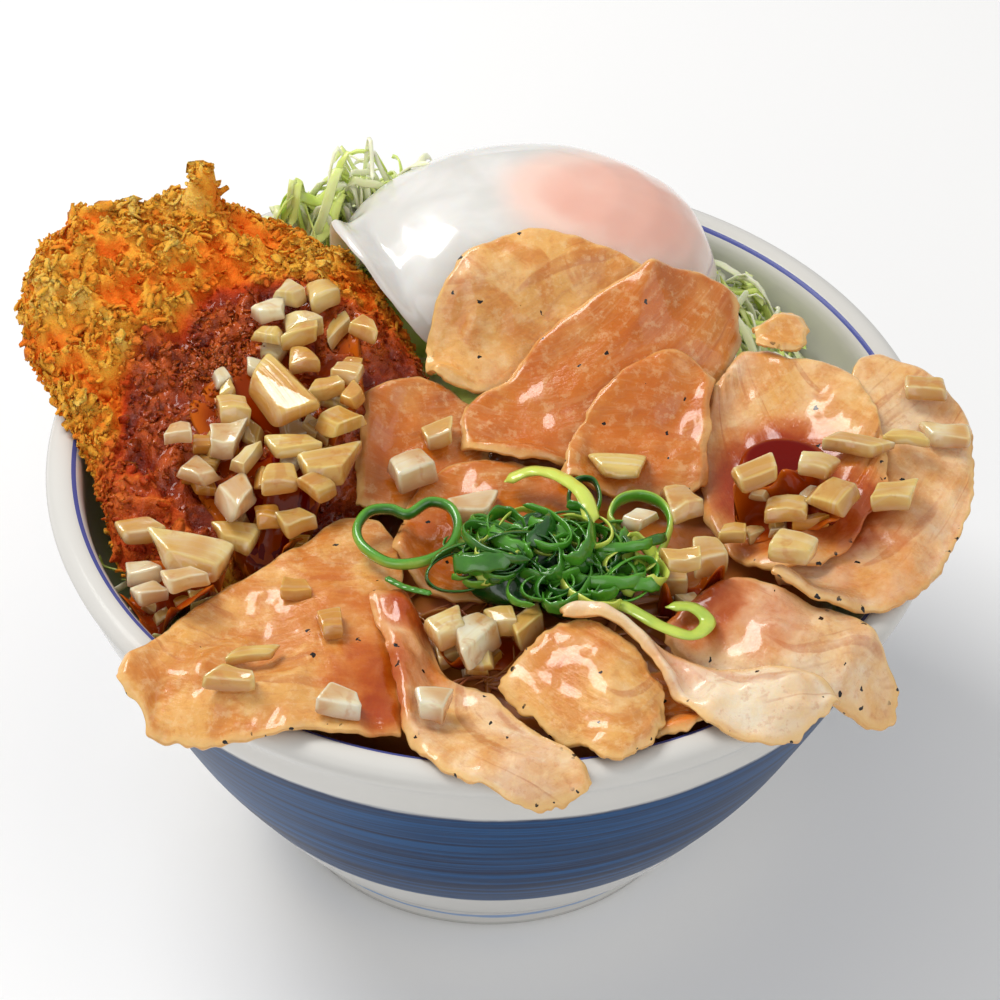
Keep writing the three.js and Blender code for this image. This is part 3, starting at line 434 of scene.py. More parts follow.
class Value:
    """A number or a colour worked out by nodes. Arithmetic with it adds Math nodes to the same tree."""

    def __init__(self, nodes, socket):
        self.nodes = nodes
        self.socket = socket

    def math(self, operation, other=0.0, swapped=False):
        """A Math node's result from this value and another, the other one first if swapped."""
        pair = (other, self) if swapped else (self, other)
        return self.nodes.add("ShaderNodeMath", dict(enumerate(pair)), operation=operation)

    def __add__(self, other):
        return self.math("ADD", other)

    def __sub__(self, other):
        return self.math("SUBTRACT", other)

    def __rsub__(self, other):
        return self.math("SUBTRACT", other, swapped=True)

    def __mul__(self, other):
        return self.math("MULTIPLY", other)

    def __gt__(self, other):
        return self.math("GREATER_THAN", other)

    def __lt__(self, other):
        return self.math("LESS_THAN", other)

    def rise(self, low, high):
        """0 at low and 1 at high, with an S-shaped rise."""
        return self.nodes.add("ShaderNodeMapRange", {"Value": self, "From Min": low, "From Max": high},
                              "Result", interpolation_type="SMOOTHSTEP")


def colour(shade):
    """A shader's colour from its red, green and blue on screen, 0 to 255. A node's colour stays as it is."""
    if isinstance(shade, Value):
        return shade
    return tuple((part / 255) ** SCREEN_GAMMA for part in shade) + (1.0,)


class Nodes:
    """Adds nodes to a tree. Its patterns lie on place unless they are given another."""

    place = None

    def __init__(self, tree):
        self.tree = tree

    def add(self, kind, inputs=None, output=0, **settings):
        """One output of a new node, once its settings and its inputs are set or linked."""
        made = self.tree.nodes.new(kind)
        for key, value in settings.items():
            setattr(made, key, value)
        self.fill(made, inputs or {})
        return Value(self, made.outputs[output])

    def fill(self, made, inputs):
        """Sets a node's inputs, or links them to values of other nodes."""
        for key, value in inputs.items():
            if isinstance(value, Value):
                self.tree.links.new(value.socket, made.inputs[key])
            else:
                made.inputs[key].default_value = value

    def noise(self, scale, detail=3.0, rough=0.55, warp=0.0, place=None):
        inputs = {"Vector": place or self.place, "Scale": scale, "Detail": detail, "Roughness": rough,
                  "Distortion": warp}
        return self.add("ShaderNodeTexNoise", inputs, "Fac")

    def streaks(self, scales, detail, rough=0.55, warp=0.0, place=None):
        """Noise with a scale of its own along each axis."""
        stretched = self.add("ShaderNodeMapping", {"Vector": place or self.place, "Scale": scales}, "Vector")
        return self.noise(1.0, detail, rough, warp, stretched)

    def field(self, name):
        """A value kept with the mesh's points."""
        return self.add("ShaderNodeAttribute", output="Fac", attribute_name=name)

    def ragged(self, name, pattern, strength):
        """A mesh's value, moved up and down by a pattern."""
        return self.field(name) + (pattern - 0.5) * strength

    def layered(self, base, *layers):
        """A colour with others laid over it in turn, each as strong as its share."""
        for share, shade in layers:
            inputs = {0: share, 6: colour(base), 7: colour(shade)}
            base = self.add("ShaderNodeMix", inputs, 2, data_type="RGBA")
        return base

    def bumped(self, height, strength, distance):
        inputs = {"Height": height, "Strength": strength, "Distance": distance}
        return self.add("ShaderNodeBump", inputs, "Normal")


def speck_group():
    """Scattered dark specks: the nearest of random points within a small reach, kept in some cells only."""
    group = bpy.data.node_groups.new("pepper_specks", "ShaderNodeTree")
    group.interface.new_socket("Place", in_out="INPUT", socket_type="NodeSocketVector")
    for name in ("Spacing", "Size", "Kept"):
        group.interface.new_socket(name, in_out="INPUT", socket_type="NodeSocketFloat")
    group.interface.new_socket("Mask", in_out="OUTPUT", socket_type="NodeSocketFloat")
    nodes = Nodes(group)
    given = {socket.name: Value(nodes, socket) for socket in group.nodes.new("NodeGroupInput").outputs}
    fine = {"Vector": given["Place"], "Scale": 900.0, "Detail": 1.0}
    wobble = nodes.add("ShaderNodeTexNoise", fine, "Color")
    shift = nodes.add("ShaderNodeVectorMath", {0: wobble, "Scale": 0.0016}, operation="SCALE")
    place = nodes.add("ShaderNodeVectorMath", {0: given["Place"], 1: shift}, operation="ADD")
    cells = nodes.add("ShaderNodeTexVoronoi", {"Vector": place, "Scale": given["Spacing"]}, "Distance")
    cell_colour = Value(nodes, cells.socket.node.outputs["Color"])
    chance = nodes.add("ShaderNodeSeparateColor", {"Color": cell_colour})
    mask = (cells < given["Size"]) * (chance < given["Kept"])
    group.links.new(mask.socket, group.nodes.new("NodeGroupOutput").inputs["Mask"])
    return group


SPECKS = speck_group()


class Finish(Nodes):
    """A new material, with patterns on the object's own coordinates."""

    def __init__(self, name):
        self.material = bpy.data.materials.new(name)
        self.material.use_nodes = True
        super().__init__(self.material.node_tree)
        self.place = self.add("ShaderNodeTexCoord", output="Object")

    def specks(self, spacing, size, kept):
        inputs = {"Place": self.place, "Spacing": spacing, "Size": size, "Kept": kept}
        return self.add("ShaderNodeGroup", inputs, "Mask", node_tree=SPECKS)

    def shaded(self, soft=None, **sockets):
        """The material, once the shader's sockets, with underscores for spaces, are set or linked.

        soft is the weight, the radius for each colour and the scale of light scattered under the surface.
        """
        if soft:
            sockets.update(zip(("Subsurface_Weight", "Subsurface_Radius", "Subsurface_Scale"), soft))
        shader = self.tree.nodes["Principled BSDF"]
        self.fill(shader, {key.replace("_", " "): value for key, value in sockets.items()})
        return self.material


# The finishes: heights and radii in metres

BAND_FOOT = (0.0250, 0.0262)
BAND_HEAD = (0.0754, 0.0738)
FOOT_RING_RADIUS = 0.0530
WALL_SLOPE = 0.53
WALL_RADIUS = 0.0415
RIM_LINE_RADIUS = 0.0824
RIM_LINE_HALF = 0.00045
RIM_LINE_HEIGHT = 0.087
FOOT_LINE_LOW = (0.0042, 0.0046)
FOOT_LINE_HIGH = (0.0062, 0.0058)
FOOT_LINE_RADIUS = 0.0425


def porcelain():
    """White glaze with a brushed cobalt band, and thin blue lines at the rim and the foot."""
    made = Finish("glazed_porcelain")
    x, y, z = (made.add("ShaderNodeSeparateXYZ", {"Vector": made.place}, axis) for axis in range(3))
    x, y = x - float(AXIS[0]), y - float(AXIS[1])
    radius = (x * x + y * y).math("SQRT")
    level = z + (made.streaks((30, 30, 350), 4.0, 0.7) - 0.5) * 0.003
    outside = (radius > FOOT_RING_RADIUS) * (radius - z * WALL_SLOPE > WALL_RADIUS)
    band = level.rise(*BAND_FOOT) * level.rise(*BAND_HEAD) * outside
    rim_line = ((radius - RIM_LINE_RADIUS).math("ABSOLUTE") < RIM_LINE_HALF) * (z > RIM_LINE_HEIGHT)
    foot_line = level.rise(*FOOT_LINE_LOW) * level.rise(*FOOT_LINE_HIGH) * (radius > FOOT_LINE_RADIUS)
    cobalt = made.layered((0, 30, 64), (made.streaks((9, 9, 900), 5.0, 0.65).rise(0.35, 0.68), (0, 78, 130)),
                          (made.streaks((14, 14, 60), 2.0).rise(0.45, 0.75) * 0.5, (0, 20, 46)))
    glaze = made.layered((206, 204, 199), (made.noise(40.0, 2.0), (214, 212, 207)), (band, cobalt),
                         (rim_line * 0.9, (48, 62, 150)), (foot_line * 0.8, (110, 150, 205)))
    return made.shaded(Base_Color=glaze, Roughness=band * 0.2 + 0.14, Specular_IOR_Level=0.1,
                       Normal=made.bumped(made.noise(60.0, 2.0), 0.08, 0.001))


def crust():
    """Fried crumb: orange body and random toast tone, painted light on raised crumb, painted shade in
    crevices, and dark wet sauce where it has soaked in.
    """
    made = Finish("fried_crumb")
    patch = made.noise(110.0, 3.0)
    # Painted light and shade: this value rises on raised crumb and falls in crevices; the noise adds a
    # random toast tone.
    toast_and_relief_light = made.field("crag") + made.noise(700.0, 4.0, 0.65) * 0.5 + patch * 0.5
    sauce = made.ragged("sauce", patch, 0.6)
    wet = sauce.rise(0.4, 0.7)
    stained = made.layered((200, 68, 20), (toast_and_relief_light.rise(0.5, 1.5), (240, 122, 40)))
    soaked = made.layered((132, 40, 10), (toast_and_relief_light.rise(0.5, 1.5), (214, 98, 36)))
    crumb = made.layered((250, 120, 24), (toast_and_relief_light.rise(0.45, 1.1), (255, 174, 56)),
                         (toast_and_relief_light.rise(1.0, 1.7), (255, 210, 104)), (sauce.rise(0.15, 0.45), stained),
                         (wet, soaked))
    return made.shaded(Base_Color=crumb, Roughness=0.62 - wet * 0.36, Coat_Weight=wet * 0.4,
                       Coat_Roughness=0.05, Specular_IOR_Level=0.2, soft=(0.3, (1.0, 0.5, 0.15), 0.002),
                       Normal=made.bumped(made.noise(1100.0, 3.0, 0.7), 0.8, 0.0014))


def egg_white():
    """Set egg white, milky and wet, with the yolk showing pink through it."""
    made = Finish("soft_egg")
    cloud = made.noise(60.0, 3.0, 0.5, 0.6)
    yolk = made.ragged("yolk", cloud, 0.35)
    skin = made.layered((214, 212, 207), (cloud.rise(0.35, 0.7), (228, 226, 222)),
                        (yolk.rise(0.1, 0.75), (240, 205, 190)), (yolk.rise(0.7, 1.05), (232, 178, 160)),
                        (made.field("hem"), (214, 205, 190)))
    return made.shaded(Base_Color=skin, Roughness=0.16, Coat_Weight=0.6, Coat_Roughness=0.05,
                       soft=(0.5, (1.0, 0.7, 0.5), 0.006),
                       Normal=made.bumped(made.noise(90.0, 3.0), 0.12, 0.001))


def roast_pork():
    """Moist roast pork: pale to tan meat with fibres, a golden edge, brown sauce and pepper."""
    made = Finish("roast_pork")
    across = made.add("ShaderNodeUVMap", output="UV", uv_map="across")
    fibre = made.streaks((140, 900, 1), 4.0, 0.6, 0.8, across)
    vein = made.streaks((45, 260, 1), 2.0, 0.5, 1.2, across)
    patch = made.noise(85.0, 4.0, 0.6, 0.4)
    mottle = made.noise(480.0, 4.0, 0.7)
    tone = made.ragged("tone", patch, 1.0)
    edge = made.ragged("edge", patch, 1.6)
    sauce = made.ragged("sauce", made.noise(130.0, 4.0, 0.6, 0.6), 0.65)
    wet = sauce.rise(0.12, 0.85)
    glaze = made.noise(62.0, 5.0, 0.65, 0.8).rise(0.46, 0.56) * made.field("tone").rise(-0.1, 0.7)
    edge_pepper = made.specks(420.0, 0.2, 0.3) * edge.rise(2.4, 0.6)
    pepper = made.specks(240.0, 0.12, 0.32).math("MAXIMUM", edge_pepper)
    # A tone above 1.05 turns the meat a brighter orange: partly sauce colour, partly painted light on the
    # low sauced slice.
    meat = made.layered(
        (246, 228, 200), (tone.rise(-0.1, 0.55), (230, 170, 94)), (tone.rise(0.5, 1.05), (194, 106, 42)),
        (tone.rise(1.05, 1.5), (246, 140, 50)), (glaze * 0.6, (200, 108, 20)),
        (fibre.rise(0.45, 0.75) * 0.2, (242, 208, 160)), (vein.rise(0.56, 0.68) * 0.42, (176, 88, 44)),
        (mottle.rise(0.5, 0.66) * 0.32, (248, 214, 160)), (mottle.rise(0.46, 0.34) * 0.26, (190, 104, 48)),
        (edge.rise(2.2, 0.6) * 0.75, (236, 190, 120)), (edge.rise(0.5, 0.05) * 0.7, (206, 148, 76)),
        (wet * 0.85, (200, 98, 14)), (sauce.rise(0.5, 1.0), (162, 58, 6)), (pepper, (26, 16, 12)))
    height = fibre * 0.3 + made.noise(900.0, 3.0) * 0.35 + mottle * 0.35
    return made.shaded(Base_Color=meat, Roughness=0.3 - wet * 0.2, Coat_Weight=0.6, Coat_Roughness=0.07,
                       Specular_IOR_Level=0.25, soft=(0.14, (1.0, 0.5, 0.2), 0.003),
                       Normal=made.bumped(height, 0.4, 0.001))


def dark_sauce():
    """Standing brown sauce, dark red where deep and orange at its thin edge."""
    made = Finish("brown_sauce")
    depth = made.field("depth")
    body = made.layered((190, 92, 24), (depth.rise(0.05, 0.5), (142, 52, 8)),
                        (depth.rise(0.55, 1.0), (108, 18, 2)))
    return made.shaded(Base_Color=body, Roughness=0.08, Specular_IOR_Level=0.14,
                       Normal=made.bumped(made.noise(300.0, 3.0), 0.25, 0.0006))


def cut_onion():
    """Diced onion, white to yellow and stained, glassy inside its rims, with the lines of its layers."""
    made = Finish("diced_onion")
    tone = made.ragged("tone", made.noise(260.0, 3.0), 0.5)
    line = made.add("ShaderNodeTexNoise", {"W": made.field("layer"), "Scale": 0.8, "Detail": 2.0}, "Fac",
                    noise_dimensions="1D")
    glass = (1.0 - made.field("rim")) * made.noise(75.0, 2.0).rise(0.32, 0.56) * 0.7
    drip = made.noise(190.0, 3.0, 0.6, 0.5).rise(0.54, 0.66)
    flesh = made.layered(
        (252, 242, 206), (tone.rise(0.0, 0.45), (246, 212, 124)), (tone.rise(0.45, 1.0), (230, 154, 48)),
        (line.rise(0.5, 0.66) * 0.25, (255, 252, 240)), (line.rise(0.46, 0.34) * 0.12, (214, 160, 84)),
        (glass, (210, 144, 56)), (drip * 0.4, (204, 122, 44)), (made.field("stain") * 0.65, (170, 84, 24)))
    return made.shaded(Base_Color=flesh, Roughness=0.16, Coat_Weight=1.0, Coat_Roughness=0.04,
                       soft=(0.3, (1.0, 0.8, 0.45), 0.004), Transmission_Weight=0.22, IOR=1.36,
                       Normal=made.bumped(line, 0.25, 0.0006))


def cut_green():
    """Green onion, dark outside to pale yellow-green, with fine grain."""
    made = Finish("green_onion")
    tone = made.ragged("tone", made.noise(180.0, 3.0), 0.4)
    leaf = made.layered((18, 70, 24), (tone.rise(0.0, 0.5), (84, 152, 44)),
                        (tone.rise(0.5, 1.0), (206, 220, 92)))
    return made.shaded(Base_Color=leaf, Roughness=0.22, Coat_Weight=0.5, Coat_Roughness=0.08,
                       soft=(0.15, (0.4, 0.8, 0.2), 0.002),
                       Normal=made.bumped(made.noise(1400.0, 2.0), 0.15, 0.0004))


def raw_cabbage():
    """Shredded cabbage: white ribs to pale green leaf, moist, and brown where sauce has run down."""
    made = Finish("shredded_cabbage")
    tone = made.ragged("tone", made.noise(120.0, 3.0), 0.6)
    stain = made.field("stain")
    leaf = made.layered((242, 246, 206), (tone.rise(0.0, 0.55), (216, 236, 124)),
                        (tone.rise(0.55, 1.0), (160, 202, 58)), (stain * 0.9, (176, 78, 24)))
    return made.shaded(Base_Color=leaf, Roughness=0.3 - stain * 0.2, Coat_Weight=0.3, Coat_Roughness=0.15,
                       soft=(0.35, (0.7, 1.0, 0.4), 0.002),
                       Normal=made.bumped(made.noise(800.0, 2.0), 0.2, 0.0004))


FINISHES = {
    "porcelain": porcelain(), "crust": crust(), "egg": egg_white(), "pork": roast_pork(),
    "sauce": dark_sauce(), "onion": cut_onion(), "green_onion": cut_green(), "cabbage": raw_cabbage(),
}


# The bowl

# Half of the bowl's section, as radius and height: under it to the foot ring's edge, then up, over and in
FOOT_PROFILE = [(0, 5.5), (20, 5.4), (34, 5.1), (37.4, 4.4), (38.6, 2.4), (39.3, 0.5), (40.2, 0.0),
                (42.3, 0.0), (43.2, 0.5), (43.6, 1.8)]
WALL_PROFILE = [(43.6, 1.8), (45.0, 5.0), (46.6, 7.6), (51.2, 13.2), (58.2, 24), (66.1, 37), (72.3, 50),
                (78.5, 64), (83.6, 76), (85.4, 82), (86.4, 84.4), (87.5, 86), (87.9, 87.6), (87.3, 88.9),
                (86.0, 89.6), (84.3, 89.9), (82.6, 89.5), (81.4, 88.4), (80.7, 86), (78.4, 74), (67, 49),
                (59.6, 35.5), (49.5, 22.5), (34, 13.2), (16, 11.4), (0, 11)]
BOWL_SIDES = 180


def make_bowl():
    """The bowl's section, two smooth curves joined at the foot, carried round the axis."""
    profile = np.vstack([spaced_curve(FOOT_PROFILE, 30)[:-1], spaced_curve(WALL_PROFILE, 130)])
    radius, height = np.maximum(profile[:, :1], 0), profile[:, 1:]
    angle = around(BOWL_SIDES)
    points = stacked(radius * np.cos(angle), radius * np.sin(angle), height)
    shape = points, grid_faces(len(profile), BOWL_SIDES, True), {}
    new_piece("donburi_bowl", "porcelain", shape, ["bowl"])


WAIST = 0.45
UNDER_RELIEF = 0.35
SIDE_RELIEF = 0.35


def closed_dome(top, bottom, middle, rings, sides, relief=None, hem=1.2):
    """A closed round piece: rings of points from the middle of its top out to the outline and back under.

    The plan radius is the solid's own outline; heights come from its top and bottom grids, drawn together
    over the outermost hem millimetres as a quarter circle. relief(points) is added outwards, less below.
    """
    angle = around(sides)
    reach = outline_radius(top, middle, angle)
    upper, lower = surface(top), surface(bottom)
    out = np.sin(np.linspace(0, np.pi / 2, rings))[:, None]
    share = np.vstack([out, out[::-1][3::3]])
    x = middle[0] + share * reach * np.cos(angle)
    y = middle[1] + share * reach * np.sin(angle)
    is_top = np.broadcast_to((np.arange(len(share)) < rings)[:, None], x.shape)
    high, low = height_at(upper, x, y), height_at(lower, x, y)
    waist = low + WAIST * np.maximum(high - low, 0)
    near = np.clip((1 - share) * reach / hem, 0, 1)
    round_off = np.sqrt(np.clip(1 - (1 - near) ** 2, 0, 1))
    points = stacked(x, y, waist + (np.where(is_top, high, low) - waist) * round_off)
    lift = np.zeros(x.shape)
    if relief is not None:
        lift = relief(points) * np.where(is_top, 1.0, UNDER_RELIEF) * np.clip(near + 0.35, 0, 1)
        sideways = SIDE_RELIEF * share ** 2
        points = points + lift[..., None] * stacked(sideways * np.cos(angle), sideways * np.sin(angle),
                                                    np.where(is_top, 1, -0.5))
    return points, grid_faces(len(share), sides, True), lift, near, is_top


EGG_MIDDLE = (5, 49)
EGG_RIPPLES = ripples((0.35, 14, 3), (0.12, 5, 4))
YOLK_MIDDLE = (23, 48)
YOLK_REACH = (26, 20)


def make_egg():
    """The egg over its solid's form, with slow ripples, and the yolk's place as a field."""
    points, faces, _, near, is_top = closed_dome(*RASTERS["egg"], EGG_MIDDLE, 61, 180, EGG_RIPPLES, 5.0)
    yolk = smooth_rise(1.25, 0.35, oval(points[..., 0], points[..., 1], YOLK_MIDDLE, YOLK_REACH)) * is_top
    hem = np.where(is_top, 0.35 * (1 - near), 0.5)
    new_piece("soft_egg", "egg", (points, faces, {"yolk": yolk, "hem": hem}), ["egg"])


CUTLET_MIDDLE = (-54, 11)
CUTLET_HEART = 92
FLAKE_SPOTS = 10500


def cutlet_sauce(x, y):
    """How far sauce has soaked the crust: high over the middle and right, low at the left and the back."""
    ragged = 0.12 * value_noise(stacked(x, y, 5), 7, 14)
    body = smooth_rise(1.2, 0.8, oval(x, y, (-40, -1), (31, 29)) + ragged)
    tail = 0.5 * smooth_rise(1.25, 0.6, oval(x, y, (-64, -18), (17, 22)) + ragged)
    return np.maximum(body, tail)


def crag_relief(points):
    """Crumb relief: large lumps, ridges where noise crosses zero, and fine grit, shallower in the sauce."""
    ridges = 1.3 - 3.12 * np.abs(value_noise(points, 5.2, 12))
    depth = 1 - 0.35 * cutlet_sauce(points[..., 0], points[..., 1])
    return depth * (ridges + ripples((1.5, 9, 11), (0.95, 2.3, 13), (0.76, 1.3, 15))(points))


SHARD_ROWS = 4
SHARD_POINTS = 4 * SHARD_ROWS
SHARD_THICKNESS = 0.32


def small_shards(places, facing, length, width, seed, lift):
    """Bent flakes of crumb: each a strip four points long, closed all round, pointing partly outwards.

    A shard runs along a random direction in the surface tilted up by lift, arches by a parabola and
    narrows to a ragged tip.
    """
    random = np.random.default_rng(seed)
    count = len(places)
    side = unit(np.cross(facing, random.normal(size=(count, 3))))
    along = unit(np.cross(side, facing) + (lift * random.uniform(0.1, 1.9, count))[:, None] * facing)
    up = np.cross(along, side)
    t = np.linspace(-0.5, 0.5, SHARD_ROWS)
    half = 0.5 * width[:, None] * (1 - 2.4 * t ** 2) * random.uniform(0.45, 1.5, (count, SHARD_ROWS))
    arch = length[:, None] * (0.18 * random.uniform(-1, 1, (count, 1))) * (1 - 4 * t ** 2)
    spine = (places[:, None] + along[:, None] * (t * length[:, None])[..., None]
             + up[:, None] * arch[..., None] + facing[:, None] * 0.3)
    thick = SHARD_THICKNESS * random.uniform(0.6, 1.3, (count, 1, 1))
    ring = [spine + side[:, None] * half[..., None], spine + up[:, None] * thick,
            spine - side[:, None] * half[..., None], spine - up[:, None] * thick]
    points = np.stack(ring, axis=2)
    one = np.vstack([grid_faces(SHARD_ROWS, 4, True), [[3, 2, 1, 0], [12, 13, 14, 15]]])
    faces = (one[None] + SHARD_POINTS * np.arange(count)[:, None, None]).reshape(-1, 4)
    return points.reshape(-1, 3), faces, np.repeat(np.tile(np.abs(t) * 2, count), 4)


def make_cutlet():
    """The craggy slab, and the crumbs that stand on it, thickest where it is dry."""
    top, bottom = RASTERS["cutlet"]
    points, faces, lift, near, is_top = closed_dome(top, bottom, CUTLET_MIDDLE, 121, 540, crag_relief, 5.0)
    sauce = cutlet_sauce(points[..., 0], points[..., 1]) * np.where(is_top, 1, 0.2)
    # Painted light and shade from the relief: paler on raised crumb, darker orange in the crevices.
    crag = np.clip(0.35 + 0.26 * lift, 0, 1)
    new_piece("fried_cutlet", "crust", (points, faces, {"crag": crag, "sauce": sauce}), ["cutlet"])
    random = np.random.default_rng(21)
    normals = surface_normals(points)
    normals[..., 2] = np.where(is_top, np.abs(normals[..., 2]), normals[..., 2])
    spots = random.choice(np.flatnonzero(is_top | (near < 0.9)), FLAKE_SPOTS, replace=False)
    dry = 1 - sauce.ravel()[spots]
    raised = smooth_rise(-1.5, 1.5, lift.ravel()[spots])
    spots = spots[random.random(len(spots)) < (0.35 + 0.65 * dry ** 2) * (0.25 + 0.75 * raised)]
    count = len(spots)
    places, wet = points.reshape(-1, 3)[spots], sauce.ravel()[spots]
    outward = unit(places - np.array([*CUTLET_MIDDLE, CUTLET_HEART]))
    facing = unit(normals.reshape(-1, 3)[spots] + 0.7 * outward)
    length = (0.8 + 3.2 * random.uniform(0, 1, count) ** 3) * (1 - 0.4 * wet)
    shards, shard_faces, tip = small_shards(places, facing, length, 0.85 * length, 22, 0.6)
    # Flakes: a random toast tone, with painted light rising with the relief, and paler towards each flake's
    # ends.
    toast_and_relief_light = random.uniform(-0.05, 0.42, count) + 0.2 * lift.ravel()[spots]
    fields = {"crag": np.repeat(toast_and_relief_light, SHARD_POINTS) + 0.25 * tip, "sauce": np.repeat(wet, SHARD_POINTS)}
    new_piece("crumb_flakes", "crust", (shards, shard_faces, fields))


SLICE_ROWS = 92
SLICE_COLUMNS = 36
TORN_EDGE = ripples((0.75, 4.5, 31), (0.4, 1.7, 32), (0.35, 0.9, 35))
SLICE_RIPPLES = ripples((0.55, 7, 33), (0.3, 3, 34))
DROOP = 0.45


def sauce_on(x, y):
    """The sauce over the pork: the strongest of the round spots at each place."""
    amounts = [strength * smooth_rise(1.5, 0.3, oval(x, y, (sx, sy), (reach, reach)))
               for sx, sy, reach, strength in SAUCE_SPOTS]
    return np.max(amounts, axis=0)


def make_slice(name, near, far, tone, number):
    """A slice: a grid between its near and far edges, draped at its solid's height, with torn edges.

    The plan place goes straight from the near to the far curve. Its height is the solid's top, with slow
    and fine ripples and a grain along it. The outline wanders by noise, and Solidify gives the thickness.
    """
    front, back = spaced_curve(near, SLICE_ROWS), spaced_curve(far, SLICE_ROWS)
    v = np.linspace(0, 1, SLICE_COLUMNS)[None, :, None]
    plan = front[:, None] * (1 - v) + back[:, None] * v
    middle = plan.mean(axis=(0, 1))
    width = np.linalg.norm(back - front, axis=1)[:, None] * np.ones(SLICE_COLUMNS)
    run = np.concatenate([[0], np.cumsum(np.linalg.norm(np.diff(plan.mean(axis=1), axis=0), axis=1))])
    along, across = run[:, None] * np.ones(SLICE_COLUMNS), width * v[..., 0]
    edge = np.minimum.reduce([across, width - across, along, run[-1] - along])
    wander = TORN_EDGE(stacked(plan[..., 0], plan[..., 1], 40 * number))
    plan = plan + unit(plan - middle) * (wander * smooth_rise(4, 0, edge))[..., None]
    x, y = plan[..., 0], plan[..., 1]
    grain = 0.4 * value_noise(stacked(along / 4, across, 9.0 * number), 3.2, 36)
    z = height_at(surface(RASTERS[name][0], 5), x, y) + SLICE_RIPPLES(stacked(x, y, 60.0 * number)) + grain
    points = stacked(x, y, z - DROOP * smooth_rise(1.6, 0.0, edge))
    uv = np.stack([along, across], axis=-1) * MM
    fields = {"tone": np.full(x.shape, tone), "edge": edge, "sauce": sauce_on(x, y)}
    shape = points, grid_faces(SLICE_ROWS, SLICE_COLUMNS), fields
    piece = new_piece(name.replace("pork", "roast"), "pork", shape, [name], uv)
    facing = np.zeros(len(piece.data.polygons) * 3)
    piece.data.polygons.foreach_get("normal", facing)
    if facing[2::3].mean() < 0:
        piece.data.flip_normals()
    body = piece.modifiers.new("thickness", "SOLIDIFY")
    body.thickness = SLICE_THICKNESS * MM
    body.offset = -1
    rounding = piece.modifiers.new("rounding", "SUBSURF")
    rounding.levels = 1
    rounding.render_levels = 1


BLOCK_ROWS = 13
BLOCK_COLUMNS = 20


def rounded_block(length, width, height, turn, seed):
    """A cut piece: a sphere's directions raised to a power, scaled, skewed, tapered, bent and turned.

    Each seed draws its own power, skew, taper and bend, and slow noise moves the corners.
    """
    random = np.random.default_rng(seed)
    power = random.uniform(0.13, 0.3)
    lat = np.linspace(-np.pi / 2, np.pi / 2, BLOCK_ROWS)[:, None]
    lon = around(BLOCK_COLUMNS)
    waist = np.cos(lat)
    waist[[0, -1]] = 0.0

    def squared(value):
        return np.sign(value) * np.abs(value) ** power
    across, along = squared(waist) * squared(np.sin(lon)), squared(waist) * squared(np.cos(lon))
    high = squared(np.sin(lat)) + 0 * lon
    skew, taper, lean, bend = random.uniform(-1, 1, 4) * (0.35, 0.4, 0.3, 0.5)
    x = (along * (1 + taper * across) + skew * across) * length / 2
    y = across * (1 + 0.5 * taper * along - 0.25 * high) * width / 2
    points = stacked(x, y, (high + lean * along - bend * along ** 2) * 0.46 * height)
    shift = [value_noise(points + 17 * seed, 4, s) + 0.4 * value_noise(points + 11 * seed, 1.6, s)
             for s in (41, 42, 43)]
    points += 0.4 * np.stack(shift, axis=-1)
    layer = (y + 0.25 * x ** 2 / length + 13 * seed).ravel()
    middle_size = np.sort(np.abs([along, across, high]), axis=0)[1]
    spin = np.array(Matrix.Rotation(math.radians(turn), 3, "Z"))
    fields = {"layer": layer, "rim": smooth_rise(0.72, 0.98, middle_size).ravel()}
    return points.reshape(-1, 3) @ spin.T, grid_faces(BLOCK_ROWS, BLOCK_COLUMNS, True), fields


def placed_onion(piece, seed, lie):
    """A block of onion at its place. Its lie is the height of its middle and two slopes."""
    x, y, length, width, turn, height, tone = piece
    points, faces, fields = rounded_block(length, width, height, turn, seed)
    middle, slope_x, slope_y = lie
    points[:, 2] += slope_x * points[:, 0] + slope_y * points[:, 1]
    stain = smooth_rise(0.2 * height, -0.5 * height, points[:, 2])
    points += np.array([x, y, middle])
    return points, faces, {"tone": np.full(len(points), tone), "stain": stain, **fields}


ONION_TILT = 0.22
ONION_SINK = 0.5


def onion_parts(pieces, height_of, seed):
    """Blocks of onion at their places, each top at the height that height_of gives and tilted a little."""
    random = np.random.default_rng(seed)
    parts = []
    for number, piece in enumerate(pieces):
        slopes = random.uniform(-ONION_TILT, ONION_TILT, 2)
        middle = height_of(piece[0], piece[1]) - piece[5] / 2 - ONION_SINK
        parts.append(placed_onion(piece, seed + number, (middle, *slopes)))
    return parts


def top_over(node_name):
    """The height of a solid's top near a place, from its raster's highest cell within a millimetre."""
    grid = RASTERS[node_name][0]

    def height_of(x, y):
        i, j = int((x + GRID_REACH) / GRID_STEP), int((y + GRID_REACH) / GRID_STEP)
        patch = grid[i - 2:i + 3, j - 2:j + 3]
        return float(patch[np.isfinite(patch)].max())
    return height_of


FILM_SIDES = 90
FILM_RINGS = 22
FILM_DEPTH = 1.3
FILM_DEPTH_ON_CRUST = -0.4
FILM_SINK = 0.9
FILM_FOOT_SINK = 1.4

# Small onion pieces: the least and the most of length, width, turn, height and tone, and their tops' rise
SMALL_ONION = ((2.5, 7), (2.5, 5), (0, 180), (1.6, 3), (0, 1))
SMALL_ONION_RISE = 1.9


